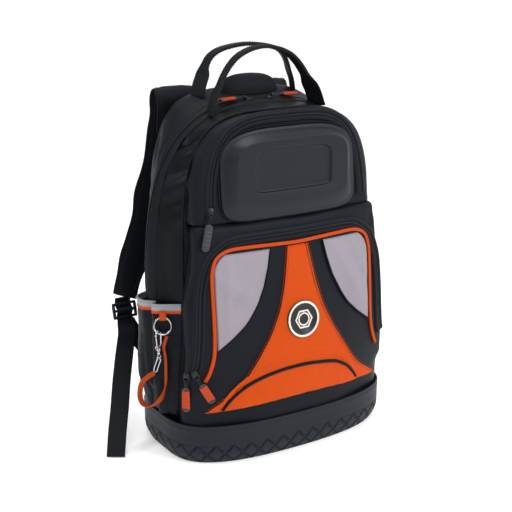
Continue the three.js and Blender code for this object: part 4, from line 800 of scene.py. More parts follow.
def hard_shell():
    n = 168
    angle = 2 * np.pi * (np.arange(n) + 0.5) / n

    def row(half, foot, top, power, y_at):
        powers = np.where(angle < np.pi, power, power * SHELL_FOOT_POWER / SHELL_POWER)
        x, up = super_point(angle, half, (top - foot) / 2, powers)
        z = (foot + top) / 2 + up
        return np.stack([x, y_at(x, z), z], 1)

    def seated(out):
        return lambda x, z: upper_face_y(x, z) - GAP - out

    def face(x, z, sink=0):
        return -SHELL_FACE + 2 * (x / SHELL_HALF) ** 2 + sink

    foot_in, top_in = SHELL_FOOT + 24, SHELL_TOP - 14
    mid = (foot_in + top_in) / 2
    edge = row(SHELL_HALF - 19, foot_in, top_in, 1.3 * SHELL_POWER, face)
    rows = [row(SHELL_HALF - cut, SHELL_FOOT + cut, SHELL_TOP - min(cut, 4), SHELL_POWER, seated(out))
            for cut, out in ((0, 0), (0, 2.8), (0.5, 3.7), (1.6, 4.1), (5, 4.4))]
    start = rows[-1]
    for t in (0.06, 0.12, 0.25, 0.4, 0.55, 0.7, 0.82, 0.9, 0.96):
        rows.append(lerp(start, edge, t) + np.array([0, -1.1 * math.sin(math.pi * t), 0]))
    for cut in (0, 1.5, 4, 8, 12, 16):
        rows.append(row(SHELL_HALF - 19.5 - cut, foot_in + cut * 0.6, top_in - cut * 0.6,
                        1.3 * SHELL_POWER + 0.1 * cut, face))
    w, h = RECESS_W / 2, RECESS_H / 2
    for cut, sink in ((-1.6, -0.5), (-0.5, -0.4), (0, 0.3), (0.8, 2.2), (1.4, 2.9), (2.6, RECESS_SHOWN),
                      (12, RECESS_SHOWN), (24, RECESS_SHOWN)):
        rows.append(row(w - cut, mid - h + cut, mid + h - cut, 5.8, lambda x, z, s=sink: face(x, z, s)))
    rows.append(row(6, mid - 1.5, mid + 1.5, 4, lambda x, z: face(x, z, RECESS_SHOWN)))
    grid("hard_shell_skin", rows, SHELL_MAT, closed=True, caps=True, replaces="hard_shell")
    binding = row(SHELL_HALF + 1.6, SHELL_FOOT - 0.4, SHELL_TOP + 1.6, SHELL_POWER, seated(0.7))
    joined("shell_binding", [tube(binding, 3.0, 8, closed=True, up=(0, 1, 0))], BIND_MAT)


def lower_pocket():
    foot, rear = BOOT_FLOOR + GAP, SEAM_Y + 0.5

    def ring(depth):
        half, top = column(LOWER_TABLE, depth, 1) * POCKET_HALF, column(LOWER_TABLE, depth, 2) * POCKET_TOP
        turn, corner = top - POCKET_CORNER, POCKET_CORNER
        side = np.linspace(foot, turn, 60)
        wide = half * (1 - POCKET_TAPER * smooth(side, 0.35 * POCKET_TOP, POCKET_TOP))
        a = np.linspace(0, np.pi / 2, 14)[1:]
        cx, cz = wide[-1] - corner + corner * np.cos(a), turn + corner * np.sin(a)
        flat = np.linspace(cx[-1], -cx[-1], 50)[1:-1]
        base = np.linspace(-wide[0], wide[0], 60)[1:-1]
        x = np.concatenate([wide, cx, flat, -cx[::-1], -wide[::-1], base])
        z = np.concatenate([side, cz, np.full(48, top), cz[::-1], side[::-1], np.full(58, foot)])
        o = resample(np.stack([x, z], 1), 300, True)
        return tuck(np.stack([o[:, 0], lerp(rear, face_y(o[:, 0], o[:, 1]), depth), o[:, 1]], 1))

    p = pocket_rows(ring, face_y, np.linspace(0.985, 0.06, 34), np.array([0, -90, 168.0]))
    keep = p.copy()
    p = crumple(p, 0.55, seed=31)
    calm = smooth(np.arange(len(p)), 24, 30)[:, None, None]
    p = p * (1 - calm) + keep * calm
    grid("lower_pocket_skin", p, CLOTH_MAT, closed=True, caps=True, replaces="lower_pocket")


def lower_zip_route(count=320):
    left = np.stack([-LOWER_ZIP[:, 0] * PIPING_HALF, lerp(PIPING_FOOT, PIPING_TOP, LOWER_ZIP[:, 1])], 1)
    return spline(np.vstack([left, left[-2::-1] * [-1, 1]]), count)


def piping_route():
    h, f, t, r = PIPING_HALF, PIPING_FOOT, PIPING_TOP, 28
    half = [(h + 14, f), (h + 8, f + 12), (h + 2, f + 33), (h, f + 62), (h, t - r - 22), (h - 1, t - r),
            (h - 8, t - 10),
            (h - 26, t - 1), (70, t), (35, t - 1)]
    return half + [(0, t - 2)] + [(-x, z) for x, z in half[::-1]]


def piping():
    route = spline(piping_route(), 260)
    cords = [tube(on_face(beside(route, s), 1.9, face_y), 2.7, 12, up=(0, 1, 0)) for s in (-0.9, 1.1)]
    joined("piping_cord", cords, PIPE_MAT, replaces="piping")
    fold = [on_face(beside(route, s), out, face_y) for s, out in ((1.9, -0.3), (1.6, 1.1), (0, 1.4),
                                                                  (-1.6, 1.1), (-1.9, -0.3))]
    grid("piping_flange", fold, PIPE_MAT)


def patch(name, left, right, z, lift, crown, material, cols=60, replaces=(), edge=2.2,
          noise_seed=None, foot=None,
          creases=()):
    """A panel of cloth between two edges at each height, crowned a little and sewn down at its border."""
    left, right, z = (np.asarray(v, float)[:, None] for v in (left, right, z))
    u = np.linspace(0, 1, cols)[None]
    u = 0.5 - 0.5 * np.cos(np.pi * u) * (1 - 0.25 * np.sin(np.pi * u) ** 2)
    x = left + (right - left) * u
    zz = np.broadcast_to(z, x.shape) if foot is None else np.maximum(z, foot(x))
    inward = np.minimum(np.minimum(x - left, right - x), np.minimum(zz - zz.min(), zz.max() - zz))
    rise = smooth(inward, -0.2, edge)
    out = (lift + 0.6) * rise - 0.6 + crown * smooth(inward, 0, 34)
    if noise_seed is not None:
        q = np.stack([x, zz * 0, zz], -1)
        out = out + (0.35 * noise(q, 60, noise_seed) + 0.12 * noise(q, 20, noise_seed + 1)) * rise
    for x0, z0, x1, z1, height, wide in creases:
        run = np.array([x1 - x0, z1 - z0], float)
        k = np.clip(((x - x0) * run[0] + (zz - z0) * run[1]) / (run @ run), 0, 1)
        d = np.hypot(x - x0 - k * run[0], zz - z0 - k * run[1])
        out = out + height * bell(d, wide) * np.sin(np.pi * (0.15 + 0.7 * k)) * rise
    p = np.stack([x, face_y(x, zz) - out, zz], -1)
    return grid(name, p, material, replaces=replaces)


def grey_edges(count=60):
    z = np.linspace(GREY_EDGE[0, 0], GREY_EDGE[-1, 0], count) * POCKET_TOP
    z = 0.5 * (z[0] + z[-1]) - 0.5 * (z[-1] - z[0]) * np.cos(np.linspace(0, np.pi, count))
    inner = column(GREY_EDGE, z / POCKET_TOP, 1) * FACE_HALF
    margin, corner = PIPING_D / 2 + 1, 30
    over = np.maximum(0, z - (PIPING_TOP - margin - corner))
    outer = PIPING_HALF - margin - corner + np.sqrt(corner ** 2 - over ** 2)
    return z, np.minimum(inner, outer - 0.5), outer


GREY_CREASES = {
    "left": [(-122, 262, -66, 222, 2.2, 8), (-118, 215, -80, 248, -1.6, 7), (-112, 186, -104, 282, 1.4, 6)],
    "right": [(62, 284, 112, 196, 3.2, 7), (82, 286, 124, 214, -2.2, 6), (58, 250, 104, 176, -1.4, 7),
              (121, 270, 116, 190, 1.6, 5)],
}


def front_panels():
    z, inner, outer = grey_edges()
    for side, word in ((-1, "left"), (1, "right")):
        patch(f"grey_{word}", side * outer if side < 0 else inner, side * inner if side < 0 else outer, z,
              1.9, 1.2,
              GREY_MAT, replaces=f"grey_panel_{word}", noise_seed=41 + side, creases=GREY_CREASES[word])
        edge = np.stack([side * inner, z], 1)[3:-2]
        rope = on_face(edge, 1.9, face_y)
        joined(f"grey_edge_{word}", [tube(rope, 2.6, 8, up=(0, 1, 0))], BIND_MAT)
    z = np.linspace(ORANGE_EDGE[0, 0], ORANGE_EDGE[-1, 0], 130) * POCKET_TOP
    half = column(ORANGE_EDGE, z / POCKET_TOP, 1) * FACE_HALF
    patch("orange_front", -half, half, z, 1.9, 0.5, ORANGE_MAT, cols=110, replaces="orange_panel",
          noise_seed=51, foot=foot_line)
    for side, word in ((-1, "left"), (1, "right")):
        rim = np.stack([side * half, z], 1)[2:]
        joined(f"orange_edge_{word}", [tube(on_face(rim, 1.8, face_y), 2.4, 8, up=(0, 1, 0))], PIPE_MAT)
        line = beside(rim, side * 3.4)
        stitches(f"orange_stitch_{word}", on_face(line, 2.1, face_y), (0, -1, 0), ORANGE_THREAD)


ARCH_BINDING = [(-122, 79), (-107, 97), (-85, 112), (-56, 122), (-25, 126.5), (8, 126.5), (46, 121),
                (64, 114.5),
                (81, 103), (97, 84)]


def foot_line(x):
    """The foot of the orange panel bows up in the middle."""
    return ORANGE_EDGE[0, 0] * POCKET_TOP + 9 * (1 - (x / (ORANGE_EDGE[0, 1] * FACE_HALF)) ** 2)


def arch_pocket():
    top = spline(ARCH_BINDING, 121)
    x = np.linspace(top[0, 0] - 4, top[-1, 0] + 4, 121)
    foot = np.stack([x, foot_line(x)], 1)
    rows = []
    for t in (0, 0.03, 0.08, 0.16, 0.26, 0.38, 0.5, 0.62, 0.74, 0.85, 0.93, 0.98, 1):
        q = lerp(foot, top, t)
        height = top[:, 1] - foot[:, 1]
        puff = 2.0 + 3.4 * np.sin(math.pi * min(1, 0.5 + 0.62 * t) * 0.98) * smooth(height, 2, 26)
        puff = puff + 0.5 * noise(np.stack([q[:, 0], 0 * q[:, 0], q[:, 1]], 1), 26, 61)
        if t == 0:
            puff = puff * 0
        rows.append(on_face(q, puff + 0.6, face_y))
    grid("arch_pocket_skin", rows, ORANGE_MAT, replaces="arch_pocket")
    bind = [on_face(beside(top, s), out, face_y) for s, out in
            ((2.4, 1.8), (2.0, 4.0), (0.8, 4.9), (-0.8, 4.9), (-1.8, 4.2), (-2.3, 2.4), (-2.0, 1.0))]
    grid("arch_binding", bind, BIND_MAT)
    welt = spline([(x * 1.02, z + 13.5 * (1 - ((x + 12) / 125) ** 2)) for x, z in ARCH_BINDING], 121)
    ridge = [on_face(beside(welt, s), out, face_y) for s, out in ((3, 1.9), (1.6, 3.0), (0, 3.3),
                                                                  (-1.2, 2.7), (-2, 1.7))]
    grid("arch_welt", ridge, ORANGE_MAT)


def badge():
    z0, r = BADGE_Z, BADGE_D / 2
    y0 = float(face_y(0, z0)) - PANEL_CLOTH - 4 * GAP
    lean = math.atan2(float(face_y(0, z0 + 5) - face_y(0, z0 - 5)), 10)
    out_of = (0, -math.cos(lean), math.sin(lean))
    m = frame_matrix((1, 0, 0), np.cross(out_of, (1, 0, 0)), out_of, (0, y0, z0))
    disc = lathe([(r - 0.6, -0.4), (r, 0.2), (r, 1.9), (r - 0.4, 2.3), (r - 3.4, 2.3), (r - 3.7, 1.8),
                  (0.5, 1.8)])
    joined("badge_disc", [moved(disc, m)], BADGE_MAT, replaces="badge")
    ring = lathe([(r - 0.3, 1.2), (r - 0.3, 2.35), (r - 0.6, 2.5), (r - 3.0, 2.5), (r - 3.3, 2.3),
                  (r - 3.3, 1.2)])
    corners = np.array([(math.cos(math.pi * k / 3), math.sin(math.pi * k / 3)) for k in range(6)])
    hexagon = resample(corners, 72, True)
    out, bore = 0.56 * r, 0.29 * r
    nut = [lathe([(out, 1.4), (out, 2.4), (out - 0.3, 2.6), (out - 2.0, 2.6), (out - 2.3, 2.4),
                  (out - 2.3, 1.4)], hexagon),
           lathe([(bore + 1.8, 1.4), (bore + 1.8, 2.4), (bore + 1.5, 2.6), (bore + 0.3, 2.6), (bore, 2.4),
                  (bore, 1.4)])]
    joined("badge_marks", [moved(q, m) for q in [ring] + nut], CREAM_MAT)


# Boot
TREAD_PITCH = 25.0


def boot():
    count = 1150
    heights = np.concatenate([[0, 0.4, 1.0], np.linspace(1.8, 29, 46), [31, 34, 38, 43, 46.5, 47.5, 48.5,
                                                                        50, 51, 52, 54, 56]])
    rows = []
    for z in heights:
        x, y = boot_outline(boot_edge(z), 700)
        rows.append(resample(np.stack([x, y], 1), count, True))
    rows = np.array(rows)
    t = np.roll(rows, -1, 1) - np.roll(rows, 1, 1)
    n = unit(np.stack([t[..., 1], -t[..., 0]], -1))
    step = np.linalg.norm(np.roll(rows[-1], -1, 0) - rows[-1], axis=1)
    s = np.concatenate([[0], np.cumsum(step)[:-1]])
    cells = round(step.sum() / TREAD_PITCH)
    u = s / step.sum() * cells
    z = heights[:, None]
    band = smooth(z, 1.0, 3.0) * (1 - smooth(z, 26.5, 28))
    v = (z - 2) / 25.5
    lines, inner = ([np.abs((q + shift + 0.5) % 1 - 0.5) * TREAD_PITCH * 0.71 for q in (u[None] + v,
                                                                                        u[None] - v)]
                    for shift in (0, 0.18))
    groove = 2.1 * np.exp(-(np.minimum(*lines) / 1.3) ** 4) + 0.5 * np.exp(-(np.minimum(*inner) / 0.9) ** 2)
    out = -groove * band
    out = out - 0.7 * bell(z - 28.6, 0.7) + 0.35 * smooth(z, 46, 47.2) * (1 - smooth(z, 51, 52.2))
    out = out - 0.5 * bell(z - 52.6, 0.5) + 0.25 * smooth(z, 53.2, 54)
    rows = rows + n * out[..., None]
    p = np.concatenate([rows, np.broadcast_to(heights[:, None, None], (*rows.shape[:2], 1))], -1)
    thin = 4
    x, y = boot_outline(0.0, 700)
    lip = resample(np.stack([x, y], 1), count, True)
    run = np.roll(lip, -1, 0) - np.roll(lip, 1, 0)
    outward = unit(np.stack([run[:, 1], -run[:, 0]], 1))
    tail = []
    for inset, h in ((0.5, 56.8), (1.4, 57.0), (2.4, 56.6), (2.9, 55.5), (3.1, 50), (3.1, 44)):
        tail.append(np.concatenate([lip - outward * inset, np.full((count, 1), h)], 1))
    grid("boot_tread", p, BOOT_MAT, closed=True, replaces="boot")
    grid("boot_lip", np.concatenate([p[-1:], np.array(tail)])[:, ::thin], BOOT_MAT, closed=True)
    base = p[:1, ::thin]
    shrink = [base[0] * [k, k, 1] + [0, 0, h] for k, h in ((1, 0), (0.985, 0.0), (0.97, 0.9), (0.5, 0.9),
                                                           (0.02, 0.9))]
    grid("boot_sole", shrink, BOOT_MAT, closed=True, caps=True)


# Handles, pads and webbing
def handle(name, half, y, lean, turn_left, turn_right, shape, node):
    foot, top = float(body_top(half, y)), BAG_TOP + 58.5
    side = [(-half * o, y + lean * u, lerp(foot, top, u)) for o, u in shape]
    path = spline(side + [(0, y + lean, top)] + [(-x, yy, z) for x, yy, z in side[::-1]], 150)
    t = np.linspace(0, 1, len(path))
    turn = np.radians(lerp(turn_left, turn_right, 0.5 - 0.5 * np.cos(np.pi * t)))
    across = np.stack([np.sin(turn), np.cos(turn), 0 * turn], 1)
    across, normal = square_on(path, across)
    fold = smooth(np.minimum(t, 1 - t), 0.12, 0.2)[:, None]
    section = strap_section(1, 1, 0.25, 40)
    slit = 1 - 0.35 * np.exp(-((section[None, :, 0] / 0.06) ** 2)) * fold
    width, thick = lerp(26, 13.6, fold), lerp(2.6, 4.8, fold)
    p = path[:, None] + across[:, None] * (section[None, :, 0] * width)[..., None]
    p = p + normal[:, None] * (section[None, :, 1] * thick * slit)[..., None]
    low = body_top(np.clip(p[..., 0], -110, 110), p[..., 1]) + 0.3
    for rows in (slice(0, 9), slice(-9, None)):
        p[rows, :, 2] = np.maximum(p[rows, :, 2], low[rows])
    joined(name, [skin(p)], WEB_MAT, replaces=node)
    for k, face in enumerate((-1, 1)):
        for lane in (-0.41, 0.41):
            line = path + across * lane * width + normal * face * (thick / 2 - 0.05)
            stitches(f"{name}_stitch_{k}_{'a' if lane < 0 else 'b'}", line[10:-10], normal[10:-10] * face,
                     STITCH_MAT,
                     slot="webbing")


PAD_HALF_W, PAD_HALF_D, PAD_Y, PAD_RISE = 46, 15, 40, 21


def top_pad():
    rows = []
    for s, up in ((1.0, -0.08), (1.0, 0.1), (0.99, 0.26), (0.95, 0.46), (0.87, 0.66), (0.76, 0.81),
                  (0.62, 0.91), (0.44, 0.97), (0.24, 1.0), (0.04, 1.0)):
        a = 2 * np.pi * np.arange(72) / 72
        x, y = PAD_HALF_W * s * np.cos(a), PAD_Y + PAD_HALF_D * s * np.sin(a)
        rows.append(np.stack([x, y, body_top(x, y) + GAP + up * PAD_RISE], 1))
    pad = grid("top_pad_skin", rows, PAD_MAT, closed=True, caps=True, replaces="top_pad")
    a = 2 * np.pi * np.arange(73) / 72
    x, y = (PAD_HALF_W + 1) * np.cos(a), PAD_Y + (PAD_HALF_D + 1) * np.sin(a)
    ring = np.stack([x, y, body_top(x, y) + 1.0], 1)
    joined("top_pad_welt", [tube(ring[:-1], 2.4, 8, closed=True, up=(0, 0, 1))], BIND_MAT,
           slot="pad_fabric")


def back_panel():
    half, top, foot = 112, 452, 76
    rows = []
    for inset, out in ((0.6, 0), (0, 2.5), (0, 5), (1.4, 8), (3.5, 10), (7, 11.5), (12, 12.2), (20, 12.5),
                       (34, 12.5), (52, 12.3), (74, 12.3), (96, 12.3), (110, 12.3)):
        inset = float(inset)
        wide = max(half - inset, 1.5)
        o = arch(wide, wide, top - inset, 2.6, foot + min(inset, 100), WAIST, 260)
        rows.append(np.stack([o[:, 0], np.full(260, BACK_Y + GAP + out), o[:, 1]], 1))
    p = np.array(rows)
    channel = np.zeros(p.shape[:2])
    for z0 in (150, 225, 300, 375):
        channel = np.maximum(channel, bell(p[..., 2] - z0, 5))
    channel = np.maximum(channel, np.exp(-(p[..., 0] / 7) ** 2))
    p[3:, :, 1] -= 5.0 * channel[3:]
    panel = grid("back_panel_skin", p, MESH_MAT, closed=True, caps=True, replaces="back_panel")
    o = arch(half + 0.4, half + 0.4, top + 0.4, 2.6, foot - 0.4, WAIST, 260)
    edge = np.stack([o[:, 0], np.full(260, BACK_Y + 2.2), o[:, 1]], 1)
    joined("back_panel_welt", [tube(edge, 3.2, 8, closed=True, up=(0, 1, 0))], BIND_MAT, slot="pad_fabric")


STRAP_ROUTE = [
    (-77, 105.6, 425), (-77.5, 105.7, 455), (-79, 106.4, 477), (-79.5, 114, 487), (-80, 121, 478),
               (-83, 119, 448),
    (-92, 119.5, 395), (-104, 123, 348), (-116, 127.5, 300), (-133, 129, 260), (-147, 127, 229),
               (-157, 123, 206),
    (-164, 118, 190),
]


def shoulder_strap(side, word):
    path = spline([(-side * x, y, z) for x, y, z in STRAP_ROUTE], 110)
    t = np.linspace(0, 1, len(path))
    across, normal = square_on(path, np.array([[1.0, 0, 0]]))
    width = lerp(62, 34, smooth(t, 0.55, 1.02))
    a = 2 * np.pi * (np.arange(36) + 0.5) / 36
    sx, sy = signed_power(np.cos(a), 0.3) / 0.98, signed_power(np.sin(a), 0.65)
    waves = 1 + 0.05 * noise(path, 60, 71)
    p = path[:, None] + across[:, None] * (sx[None, :, None] * (width * waves)[:, None, None] / 2)
    puff = 0.72 + 0.28 * np.cos(np.clip(sx[None, :, None], -1, 1) * np.pi)
    p = p + normal[:, None] * (sy[None, :, None] * 5.0 * puff)
    pad = joined(f"strap_{word}", [skin(p)], PAD_MAT,
                 replaces=f"shoulder_strap_{word}")
    for k, s in enumerate((-1, 1)):
        edge = path + across * (s * (width * waves) / 2)[:, None]
        joined(f"strap_{word}_edge_{k}", [tube(edge, 3.4, 8, up=(0.1, 1, 0.1))], BIND_MAT,
               slot="pad_fabric")
        for face in (-1, 1):
            line = path + across * (s * (width / 2 - 5))[:, None] + normal * face * 3.6
            stitches(f"strap_{word}_stitch_{k}_{'in' if face < 0 else 'out'}", line[4:-4],
                     normal[4:-4] * face, STITCH_MAT,
                     slot="pad_fabric")
    web = path[36:] + normal[36:] * 5.6 * np.sign(normal[70, 1])
    q = ribbon(web, across[36:], normal[36:], strap_section(25, 1.6, 0.25, 20))
    joined(f"strap_{word}_webbing", [skin(q)], WEB_MAT)


TAIL_LEFT = [(-168, 109, 158.6), (-168.2, 108.3, 152), (-171.5, 99.5, 140), (-179, 90, 123),
             (-190, 75, 103),
             (-201, 60, 80), (-212, 43, 57), (-227, 21, 30), (-239, 3, 1.6)]
TAIL_RIGHT = [(168, 109, 158.6), (168.2, 108.4, 152), (171, 107.5, 137), (176, 110, 105), (178, 116, 72),
              (179, 129, 42), (179, 148, 18), (179, 172, 1.6)]
ANCHOR = [(-164, 112.2, 158.5), (-163.8, 112.5, 152), (-156, 113.5, 138), (-140, 109, 112), (-126, 104, 90),
          (-112, 101.5, 78)]


def flat_strap(name, points, width, thick, end, node, count=80):
    path = spline(points, count)
    t = np.linspace(0, 1, count)[:, None]
    across, normal = square_on(path, lerp(np.array([1.0, 0, 0]), np.asarray(end, float), t))
    p = ribbon(path, across, normal, strap_section(width, thick, 0.25, 28))
    p[..., 2] = np.maximum(p[..., 2], 0.2)
    joined(name, [skin(p)], WEB_MAT, replaces=node)


def webbing_and_buckles():
    flat_strap("tail_left", TAIL_LEFT, 26, 1.8, (0.79, -0.61, 0), "webbing_tail_left")
    flat_strap("tail_right", TAIL_RIGHT, 26, 1.8, (1, 0, 0), "webbing_tail_right")
    for side, word in ((-1, "left"), (1, "right")):
        points = [(-side * x, y, z) for x, y, z in ANCHOR]
        flat_strap(f"anchor_{word}", points, 25, 1.8, (1, 0, 0), f"anchor_webbing_{word}", 50)
        low, high = (np.array(v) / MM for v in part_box(f"adjuster_{word}"))
        c, s = math.cos(-0.25), math.sin(-0.25)
        m = frame_matrix((1, 0, 0), (0, c, s), (0, -s, c), (low + high) / 2)
        bars = [rounded_box((38, 4.5, 4.4), (0, 0, z), 4, (12, 24)) for z in (-9.8, 0, 9.8)]
        bars += [rounded_box((4.4, 4.5, 24), (x, 0, 0), 4, (12, 24)) for x in (-16.8, 16.8)]
        placed(f"buckle_{word}", bars, m, BUCKLE_MAT, replaces=f"adjuster_{word}")
        weave = spline([(0, 0.5, 19), (0, 2.6, 14), (0, 3.4, 9.8), (0, 1.2, 5), (0, -3.3, 0), (0, 1.2, -5),
                        (0, 3.4, -9.8),
                        (0, 2.2, -15)], 60)
        band = sweep(weave, strap_section(25, 1.5, 0.25, 20), (0, 1, 0.02))
        joined(f"buckle_webbing_{word}", [moved(skin(band), m)], WEB_MAT)


# Side pockets
def side_surface(side, y_from, y_to, u, z, out):
    """Points on a side pocket at shares u of its width and heights z."""
    y = lerp(y_from, y_to, u)
    on = tuck(np.stack([body_side(y, z), y, z], -1))
    full = lerp(0.3, 1, smooth(z, POCKET_FOOT_Z, 2 * POCKET_FOOT_Z))
    off = 3 * GAP + 14 * np.sin(np.pi * u ** 1.7) ** 0.8 * full + out
    on[..., 0] = side * (on[..., 0] + off)
    return on


def side_pocket(place, y_from, y_to, side, word, seed):
    u = 0.5 - 0.5 * np.cos(np.linspace(0, np.pi, 44))
    uu, zz = np.meshgrid(u, np.linspace(POCKET_FOOT_Z, POCKET_TOP_Z + 1, 60))
    p = side_surface(side, y_from, y_to, uu, zz, 1.6)
    wave = 0.9 * noise(p, 55, seed) + 0.4 * noise(p, 22, seed + 1)
    pleat = bell(uu - 0.32, 0.06) * smooth(zz, 200, 90) * -2.0
    p[..., 0] += side * (wave + pleat) * np.sin(np.pi * uu) ** 0.5 * (1 - smooth(zz, 205, 222))
    # The side pockets wear the darker copy of the cloth: painted shade
    grid(f"pocket_{place}_{word}", p, SHADED_SIDE_MAT, thick=1.6, replaces=f"side_pocket_{place}_{word}")
    for part, z0, z1, out, mat, slot, node in (
            ("band", POCKET_TOP_Z + 0.2, POCKET_TOP_Z + BAND_H + 0.2, 2.4, BAND_MAT, "band_fabric",
             f"pocket_band_{place}_{word}"),
            ("trim", POCKET_TOP_Z - 3.6, POCKET_TOP_Z + 0.4, 2.5, PIPE_MAT, "orange_fabric", ())):
        rows = []
        for t, bulge in ((0, -1.3), (0.02, 0), (0.2, 0.5), (0.5, 0.7), (0.8, 0.5), (0.98, 0), (1, -1.3)):
            q = side_surface(side, y_from, y_to, u, np.full(len(u), lerp(z0, z1, t)), out + bulge)
            rows.append(q)
        grid(f"pocket_{place}_{word}_{part}", rows, mat, thick=1.2 if part == "band" else 0, slot=slot,
             replaces=node)
    line = side_surface(side, y_from, y_to, u, np.full(len(u), POCKET_TOP_Z + BAND_H - 1.0), 3.1)
    joined(f"pocket_{place}_{word}_rim", [tube(line, 2.4, 8, up=(0, 0, 1))], BAND_MAT)


# Sliders and pulls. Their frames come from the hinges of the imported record.
def hinge_frame(joint, node):
    pin, axis = np.array(joint["pos_m"]) / MM, unit(joint["axis"])
    low, high = (np.array(v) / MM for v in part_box(node))
    along = (low + high) / 2 - pin
    x = unit(along - (along @ axis) * axis)
    return frame_matrix(x, -axis, np.cross(x, -axis), pin)


def grip(x0, length, width, thick):
    """A pull's moulded grip with ridges across it."""
    x = np.linspace(0, 1, 60)
    end = np.sqrt(np.clip(1 - (2 * x - 1) ** 8, 0, 1)) ** 0.9
    ridges = 1 + 0.16 * np.cos(2 * np.pi * 6.5 * x) * smooth(x, 0.12, 0.2) * (1 - smooth(x, 0.8, 0.88))
    section = strap_section(1, 1, 0.5, 24)
    p = np.zeros((60, 24, 3))
    p[..., 0] = (x0 + length * x)[:, None]
    p[..., 1] = section[None, :, 0] * (width * np.maximum(end, 0.05))[:, None]
    p[..., 2] = section[None, :, 1] * (thick * np.maximum(end, 0.05) * ridges)[:, None]
    return p.reshape(-1, 3), ring_faces(60, 24)


def pull_and_slider(name, neck, length, width, thick, material, slot):
    joint = next(j for j in frame["joints"] if j["name"] == f"{name}_pull_hinge")
    m = hinge_frame(joint, f"{name}_pull")
    body = f"{name}_pull"
    x0 = 1.6 + neck - 1
    joined(f"{name}_grip", [moved(grip(x0, length, width, thick), m)], material, body=body, slot=slot,
           replaces=f"{name}_pull")
    caps = [rounded_box((4.2, width * 0.94, thick + 0.5), (x0 + k * length, 0, 0), 3.5,
                        (12, 24)) for k in (0.09, 0.9)]
    placed(f"{name}_caps", caps, m, GREY_GRIP, body=body)
    bail = [(x0 + 3, 1.3, 0), (2.2, 1.3, 0), (1.2, 0.9, 0), (0.9, 0, 0), (1.2, -0.9, 0), (2.2, -1.3, 0),
            (x0 + 3, -1.3, 0)]
    eye = [(2.0 * math.cos(a), 0, 2.0 * math.sin(a)) for a in np.linspace(0, 2 * np.pi, 24, endpoint=False)]
    parts = [tube(spline(bail, 40), 1.3, 8, up=(0, 0, 1)), tube(np.array(eye), 1.1, 8, closed=True,
                                                                up=(0, 1, 0))]
    placed(f"{name}_bail", parts, m, DARK_METAL, body=body)
    down = m.copy()
    down[:3, 3] = m[:3, 3] - m[:3, 2] * 4.9
    shape = [rounded_box((13.2, 8.8, 2.4), (-5.2, 0, 1.1), 3.5, (14, 28)),
             rounded_box((8, 5.6, 2.2), (-6, 0, 2.2), 3, (10, 20))]
    shape += [rounded_box((4.2, 1.2, 5.4), (-0.8, s * 2.5, 3.5), 4, (10, 16)) for s in (-1, 1)]
    pin = np.array([(0, y, 4.9) for y in np.linspace(-2.6, 2.6, 6)])
    shape.append(tube(pin, 1.5, 10, up=(0, 0, 1)))
    placed(f"{name}_slide", shape, down, DARK_METAL, replaces=f"{name}_slider")


# Lanyard. The ring and the hook hang in frames of their own.
TAB_ALONG, TAB_OUT = np.array([-0.848, 0.53, 0]), np.array([-0.53, -0.848, 0])
TAB_AT = np.array([-173.53, -22.43, 0])
RING_TOP, RING_DOWN, RING_R = np.array([-175.38, -25.4, 202.9]), np.array([-0.124, -0.198, -0.972]), 11.6
HOOK = frame_matrix((-0.92, -0.391, 0), (0.391, -0.92, 0), (0, 0, 1), (-182.98, -26.61, 186.67))
LINK = frame_matrix((-0.146, 0.343, -0.928), (0.363, -0.854, -0.372), (-0.92, -0.391, 0),
                    (-182.98, -26.61, 144.67))
LANYARD = [
    (-173.9, -33.1, 178.8), (-179, -33.5, 164), (-176.5, -32.5, 148), (-176, -32, 128),
           (-177.5, -32.5, 108),
    (-182, -32.5, 94), (-188, -27, 82), (-193, -14, 73), (-196, -1, 72), (-197, 7, 80), (-196.5, 5, 97),
    (-194, -5, 111), (-186.3, -18.8, 123.6),
]


